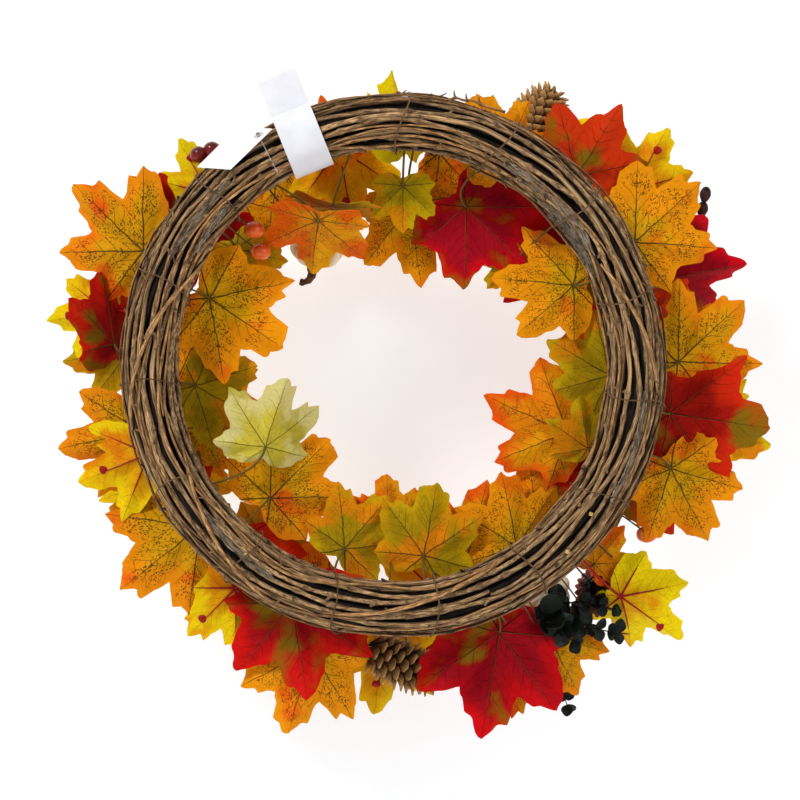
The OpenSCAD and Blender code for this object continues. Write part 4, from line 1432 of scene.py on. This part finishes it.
# %% Sprigs
def sprig(name, start, end, bow, leaf_size, pairs, seed, bare=0.0):
    """A stem from start to end, in millimetres right, up and ahead, with leaves in pairs."""
    start, end = (flat_place(*[v / 1000 for v in spot]) for spot in (start, end))
    dice = np.random.default_rng(seed)
    middle = (start + end) / 2 + np.array(bow) / 1000
    route = soft_curve((start, middle, middle, end), 20)
    stem = tubes(f"{name}_stem", [(route, 0.0010 * np.linspace(1, 0.5, 20), 0.3, np.zeros(20))], sides=6)
    mark(stem, "reach", 0.2)
    parts = [stem]
    for k in range(pairs):
        t = bare + (1 - bare) * (k + 0.6) / pairs
        spot = route[int(t * 19)]
        way = route[min(19, int(t * 19) + 1)] - route[max(0, int(t * 19) - 1)]
        way /= np.linalg.norm(way)
        side, other = sideways(way)
        for flip in (0, math.pi):
            turn = k * 1.6 + flip + dice.uniform(-0.4, 0.4)
            out = (side * math.cos(turn) + other * math.sin(turn)) * [1, 0.35, 1]
            ahead = out * 0.9 + way * dice.uniform(0.2, 0.6)
            ahead /= np.linalg.norm(ahead)
            across = np.cross(ahead, way * 0.5 + dice.uniform(-0.4, 0.4, 3) + [0, 1, 0])
            across /= np.linalg.norm(across)
            size = leaf_size / 1000 * dice.uniform(0.8, 1.15) * (1.1 - 0.45 * t)
            one = copy_of(disc, f"{name}_{k}_{flip}")
            spots = points_of(one) * size
            move_points(one, spot + np.outer(spots[:, 0], across) + np.outer(spots[:, 1], ahead)
                        + np.outer(spots[:, 2], np.cross(across, ahead)))
            parts.append(one)
    return parts


parts = (sprig("low", (132, -208, 42), (202, -230, 42), (0, 4, -6), 8.5, 7, 11)
         + sprig("inner", (128, -200, 40), (158, -242, 38), (3, 3, 2), 8.5, 6, 12)
         + sprig("crossing", (134, -204, 46), (196, -210, 36), (0, 3, 5), 7.5, 6, 13)
         + sprig("short", (126, -212, 38), (146, -228, 34), (0, 3, 5), 9.5, 4, 15)
         + sprig("hanging", (140, -225, 72), (152, -300, 72), (3, 0, 0), 7, 6, 14, 0.35))
piece = joined("round_leaf_sprigs", *parts)
hand_over(piece, "wreath", "eucalyptus", sprig_skin, "eucalyptus_sprigs")
bpy.data.objects.remove(disc)
print("sprig parts:", len(parts), "faces:", len(piece.data.polygons))

# %% [markdown]
# ## Wires and glue
# Each ornament has a paper-wrapped wire that was pushed between the canes and held with hot glue. A wire runs
# in a soft curve from its ornament to the ring's open front. The glue has set in small amber drops: balls that
# are pressed out of round, each where its measured dab is.
# %% Wires
wrapped_wire = bark_finish("wrapped_wire", "#1D160C", "#4A3A20", "#6E5A34", 0.5)
runs = []
LARGE_ONES = ("pinecone_top", "pinecone_bottom", "pinecone_dark", "pinecone_small",
              "pumpkin_left", "pumpkin_right")
held = [(node, np.vstack(solids(node)).mean(0)) for node in LARGE_ONES]
for node in ("rosehips", "seed_pods", "berries", "eucalyptus_sprigs"):
    held += [(node, points.mean(0)) for points in solids(node)]
for number, (node, start) in enumerate(held):
    root = stem_root(start)
    bow = np.array([0.004 * math.sin(number * 2.1), -0.012, 0.004 * math.cos(number * 1.3)])
    span = root - start
    route = soft_curve((start, start + span * 0.35 + bow, start + span * 0.75 + bow, root), 24)
    runs.append((route, 0.0008, 0.4 + 0.03 * number, np.zeros(24)))
piece = tubes("wrapped_wires", runs, sides=6)
hand_over(piece, "wreath", "wire", wrapped_wire, "pick_wires")
print("wires:", len(runs))

# %% Glue
hot_glue, tree, shader = new_finish("hot_glue", Transmission_Weight=0.35, IOR=1.45, Specular_IOR_Level=0.5)
cloud = cloudy(tree, room_place(tree), 300.0, 2.0)
wire_up(tree, shader, shades(tree, cloud, (0.35, "#D8A63A"), (0.65, "#F3DC8E")),
        fade(tree, cloud, 0.3, 0.7, 0.18, 0.4), cloud, 0.2, 0.0005)
drops = []
for number, points in enumerate(solids("glue_dabs")):
    middle, radius = (points.max(0) + points.min(0)) / 2, np.ptp(points, axis=0).max() / 2
    nothing_selected()
    bpy.ops.mesh.primitive_uv_sphere_add(segments=16, ring_count=10, radius=1)
    drop = made(f"drop_{number}")
    ball = points_of(drop)
    own = Vector((number * 3, 0, 0))
    lump = np.array([1 + 0.35 * noise.noise(Vector(spot) * 1.4 + own) for spot in ball])
    move_points(drop, middle + ball * lump[:, None] * radius * [1.1, 0.75, 0.95])
    drops.append(smooth(drop))
piece = joined("glue_drops", *drops)
hand_over(piece, "wreath", "glue", hot_glue, "glue_dabs")
print("glue drops:", len(drops))

# %% [markdown]
# ## Finish: paper, card and clear nylon
# The sleeve is uncoated white paper, the tag is smoother card, and the fastener is clear nylon. Paper is never
# one flat white: it has faint clouds and fibres in its bump.
# %% Label finishes
def paper_finish(name, light, shade, fibre_size, roughness):
    material, tree, shader = new_finish(name, Specular_IOR_Level=0.2)
    place = room_place(tree)
    fibre = cloudy(tree, place, fibre_size, 4.0)
    cloud = cloudy(tree, place, 45.0, 2.0)
    wire_up(tree, shader, shades(tree, cloud, (0.3, shade), (0.7, light)),
            fade(tree, fibre, 0.3, 0.7, roughness, roughness + 0.12), fibre, 0.3, 0.0003)
    return material


sleeve_paper = paper_finish("sleeve_paper", "#E9E9EE", "#DDDDE4", 1500.0, 0.75)
tag_card = paper_finish("tag_card", "#FCFCFC", "#F4F3F4", 900.0, 0.5)
clear_nylon, tree, shader = new_finish("clear_nylon", IOR=1.5, Transmission_Weight=0.8,
                                       Specular_IOR_Level=0.5)
haze = cloudy(tree, room_place(tree), 500.0, 2.0)
wire_up(tree, shader, shades(tree, haze, (0.3, "#D6D8DA"), (0.7, "#F2F3F4")),
        fade(tree, haze, 0.3, 0.7, 0.12, 0.3))
print("label finishes:", sleeve_paper.name, tag_card.name, clear_nylon.name)

# %% [markdown]
# ## Paper sleeve
# The sleeve is one strip of paper taken round the bundle, with its ends glued back to back, which leaves a
# flag that stands outwards. A flat grid as long as the strip is bent along that path: in along the flag, once
# round the vines, and out along the flag again. It is a little uneven, as folded paper is.
# %% Bending the sleeve
SLEEVE_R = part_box("paper_sleeve")[1].y - 0.0003
FLAG_DEPTH, FLAG_REACH, SLEEVE_HALF = 0.0085, 0.0577, 0.017
flag_turn = math.degrees(math.acos(FLAG_DEPTH / SLEEVE_R))
round_turns = np.radians(np.linspace(flag_turn, flag_turn - 360, 130))
path = [(FLAG_REACH - (FLAG_REACH - SLEEVE_R * math.sin(round_turns[0])) * p, FLAG_DEPTH + 0.00022)
        for p in np.linspace(0, 1, 24, endpoint=False)]
path += [(SLEEVE_R * math.sin(a), SLEEVE_R * math.cos(a)) for a in round_turns]
path += [(SLEEVE_R * math.sin(round_turns[-1]) + (FLAG_REACH - SLEEVE_R * math.sin(round_turns[0])) * p,
          FLAG_DEPTH - 0.00022) for p in np.linspace(0, 1, 25)[1:]]
path = np.array(path)
nothing_selected()
bpy.ops.mesh.primitive_grid_add(x_subdivisions=len(path) - 1, y_subdivisions=10, size=2)
band = made("paper_band")
flat = points_of(band)
step = np.clip(np.round((flat[:, 0] + 1) / 2 * (len(path) - 1)).astype(int), 0, len(path) - 1)
outward, depth = path[step, 0], path[step, 1].copy()
flag_part = np.clip((outward - SLEEVE_R) / (FLAG_REACH - SLEEVE_R), 0, 1)
depth += flag_part ** 2 * 0.0015 * np.cos(flat[:, 1] * 1.4)
outward = outward + 0.0004 * flag_part * np.sin(flat[:, 1] * 3)
clock = math.radians(SLEEVE_CLOCK)
reach = RING_R + outward
slide = flat[:, 1] * SLEEVE_HALF * (1 + 0.006 * np.sin(step * 0.09))
move_points(band, np.stack([-reach * math.sin(clock) - slide * math.cos(clock), depth,
                            RING_Z + reach * math.cos(clock) - slide * math.sin(clock)], 1))
paper = band.modifiers.new("paper", "SOLIDIFY")
paper.thickness, paper.offset = 0.0003, 0
apply_modifiers(band)
smooth(band, 50)
hand_over(band, "sleeve", "sleeve_paper", sleeve_paper, "paper_sleeve")
print("strip length mm:", round(float(np.linalg.norm(np.diff(path, axis=0), axis=1).sum()) * 1000, 1))


# %% [markdown]
# ## Tag and fastener
# The tag is stiff flat card and the fastener a thin clear loop, and both already have their true shape in the
# frame, down to the punched hole. They keep it and only take their finish. Print on the tag is left out.
# %% Finishing the measured tag
for node, finish in (("hang_tag", tag_card), ("tag_fastener", clear_nylon)):
    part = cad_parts[node]
    part.data.materials.clear()
    part.data.materials.append(finish)
    print(node, "takes", finish.name)

# %% [markdown]
# ## The room: camera, light and ground
# The wreath hangs face to a white screen and is seen from behind, square on. A long lens keeps the ring round.
# The screen behind the leaves glows like a lit panel, so it stays white inside the ring and takes only faint
# shadows. It has no back and lets light through, so the
# leaves are lit and can be looked at from their own side too. The light is plain and soft, from both sides.
# %% Camera
scene = bpy.context.scene
scene.view_settings.view_transform = "Standard"
LENS_GAP = 2.2
FRAME_WIDTH = 0.674
SENSOR = 36
SCREEN_GAP = 0.075
FLOOR_DROP = 0.75
SCREEN_GLOW = 0.62
camera = bpy.data.objects.new("camera", bpy.data.cameras.new("camera"))
scene.collection.objects.link(camera)
camera.location = (-0.0055, LENS_GAP, RING_Z - 0.029)
camera.rotation_euler = (math.pi / 2, 0, math.pi)
camera.data.sensor_width = SENSOR
camera.data.lens = SENSOR * LENS_GAP / FRAME_WIDTH
scene.camera = camera
print("camera at", tuple(round(v, 3) for v in camera.location), "lens", round(camera.data.lens, 1))


# %% Screen and ground
def stage_sheet(name, width, depth, place, turn, dim, bright, glow, one_sided):
    nothing_selected()
    bpy.ops.mesh.primitive_grid_add(x_subdivisions=24, y_subdivisions=24, size=1)
    piece = made(name)
    flat = points_of(piece) * [width, depth, 1]
    flat = flat @ np.array(Matrix.Rotation(turn, 3, "X")).T + np.array(place)
    move_points(piece, flat)
    material, tree, shader = new_finish(name, Roughness=0.9, Specular_IOR_Level=0.1)
    wash = cloudy(tree, room_place(tree), 1.3, 2.0)
    wire_up(tree, shader, shades(tree, wash, (0.3, dim), (0.7, bright)))
    shader.inputs["Emission Color"].default_value = tint("#FFFFFF")
    shader.inputs["Emission Strength"].default_value = glow
    if one_sided:
        clear = put(tree, "BsdfTransparent")
        unseen = calc(tree, "MAXIMUM", put(tree, "NewGeometry").outputs["Backfacing"],
                      put(tree, "LightPath").outputs["Is Shadow Ray"])
        choice = put(tree, "MixShader", (0, unseen), (1, shader.outputs[0]), (2, clear.outputs[0]))
        tree.links.new(choice.outputs[0], tree.nodes["Material Output"].inputs[0])
    piece.data.materials.append(material)
    return piece


screen_y, floor_z = cad_low.y - SCREEN_GAP, cad_low.z - FLOOR_DROP
stage_sheet("white_screen", 7.0, 7.0, (0, screen_y, 1.6), -math.pi / 2, "#B2B8BC", "#B8BCC0", SCREEN_GLOW,
            True)
stage_sheet("pale_floor", 9.0, 9.0, (0, 0, floor_z), 0.0, "#F4F2F0", "#FFFFFF", 0.0, False)
print("screen at", round(screen_y, 3), "floor at", round(floor_z, 3))


# %% Lights
def soft_light(name, place, size, power, colour=(1, 1, 1)):
    lamp = bpy.data.lights.new(name, "AREA")
    lamp.shape, lamp.size, lamp.energy, lamp.color = "DISK", size, power, colour
    light = bpy.data.objects.new(name, lamp)
    scene.collection.objects.link(light)
    light.location = place
    aim = Vector((0, 0, RING_Z)) - Vector(place)
    light.rotation_euler = aim.to_track_quat("-Z", "Y").to_euler()
    return light


soft_light("key_light", (1.6, 1.8, 1.8), 0.7, 64)
soft_light("fill_light", (-1.8, 2.0, 0.3), 1.8, 20)
soft_light("front_light", (0.8, -2.6, 1.2), 1.8, 40)
world = bpy.data.worlds.new("studio_air")
world.use_nodes = True
world.node_tree.nodes["Background"].inputs[0].default_value = (1.0, 1.0, 1.0, 1)
world.node_tree.nodes["Background"].inputs[1].default_value = 0.34
scene.world = world
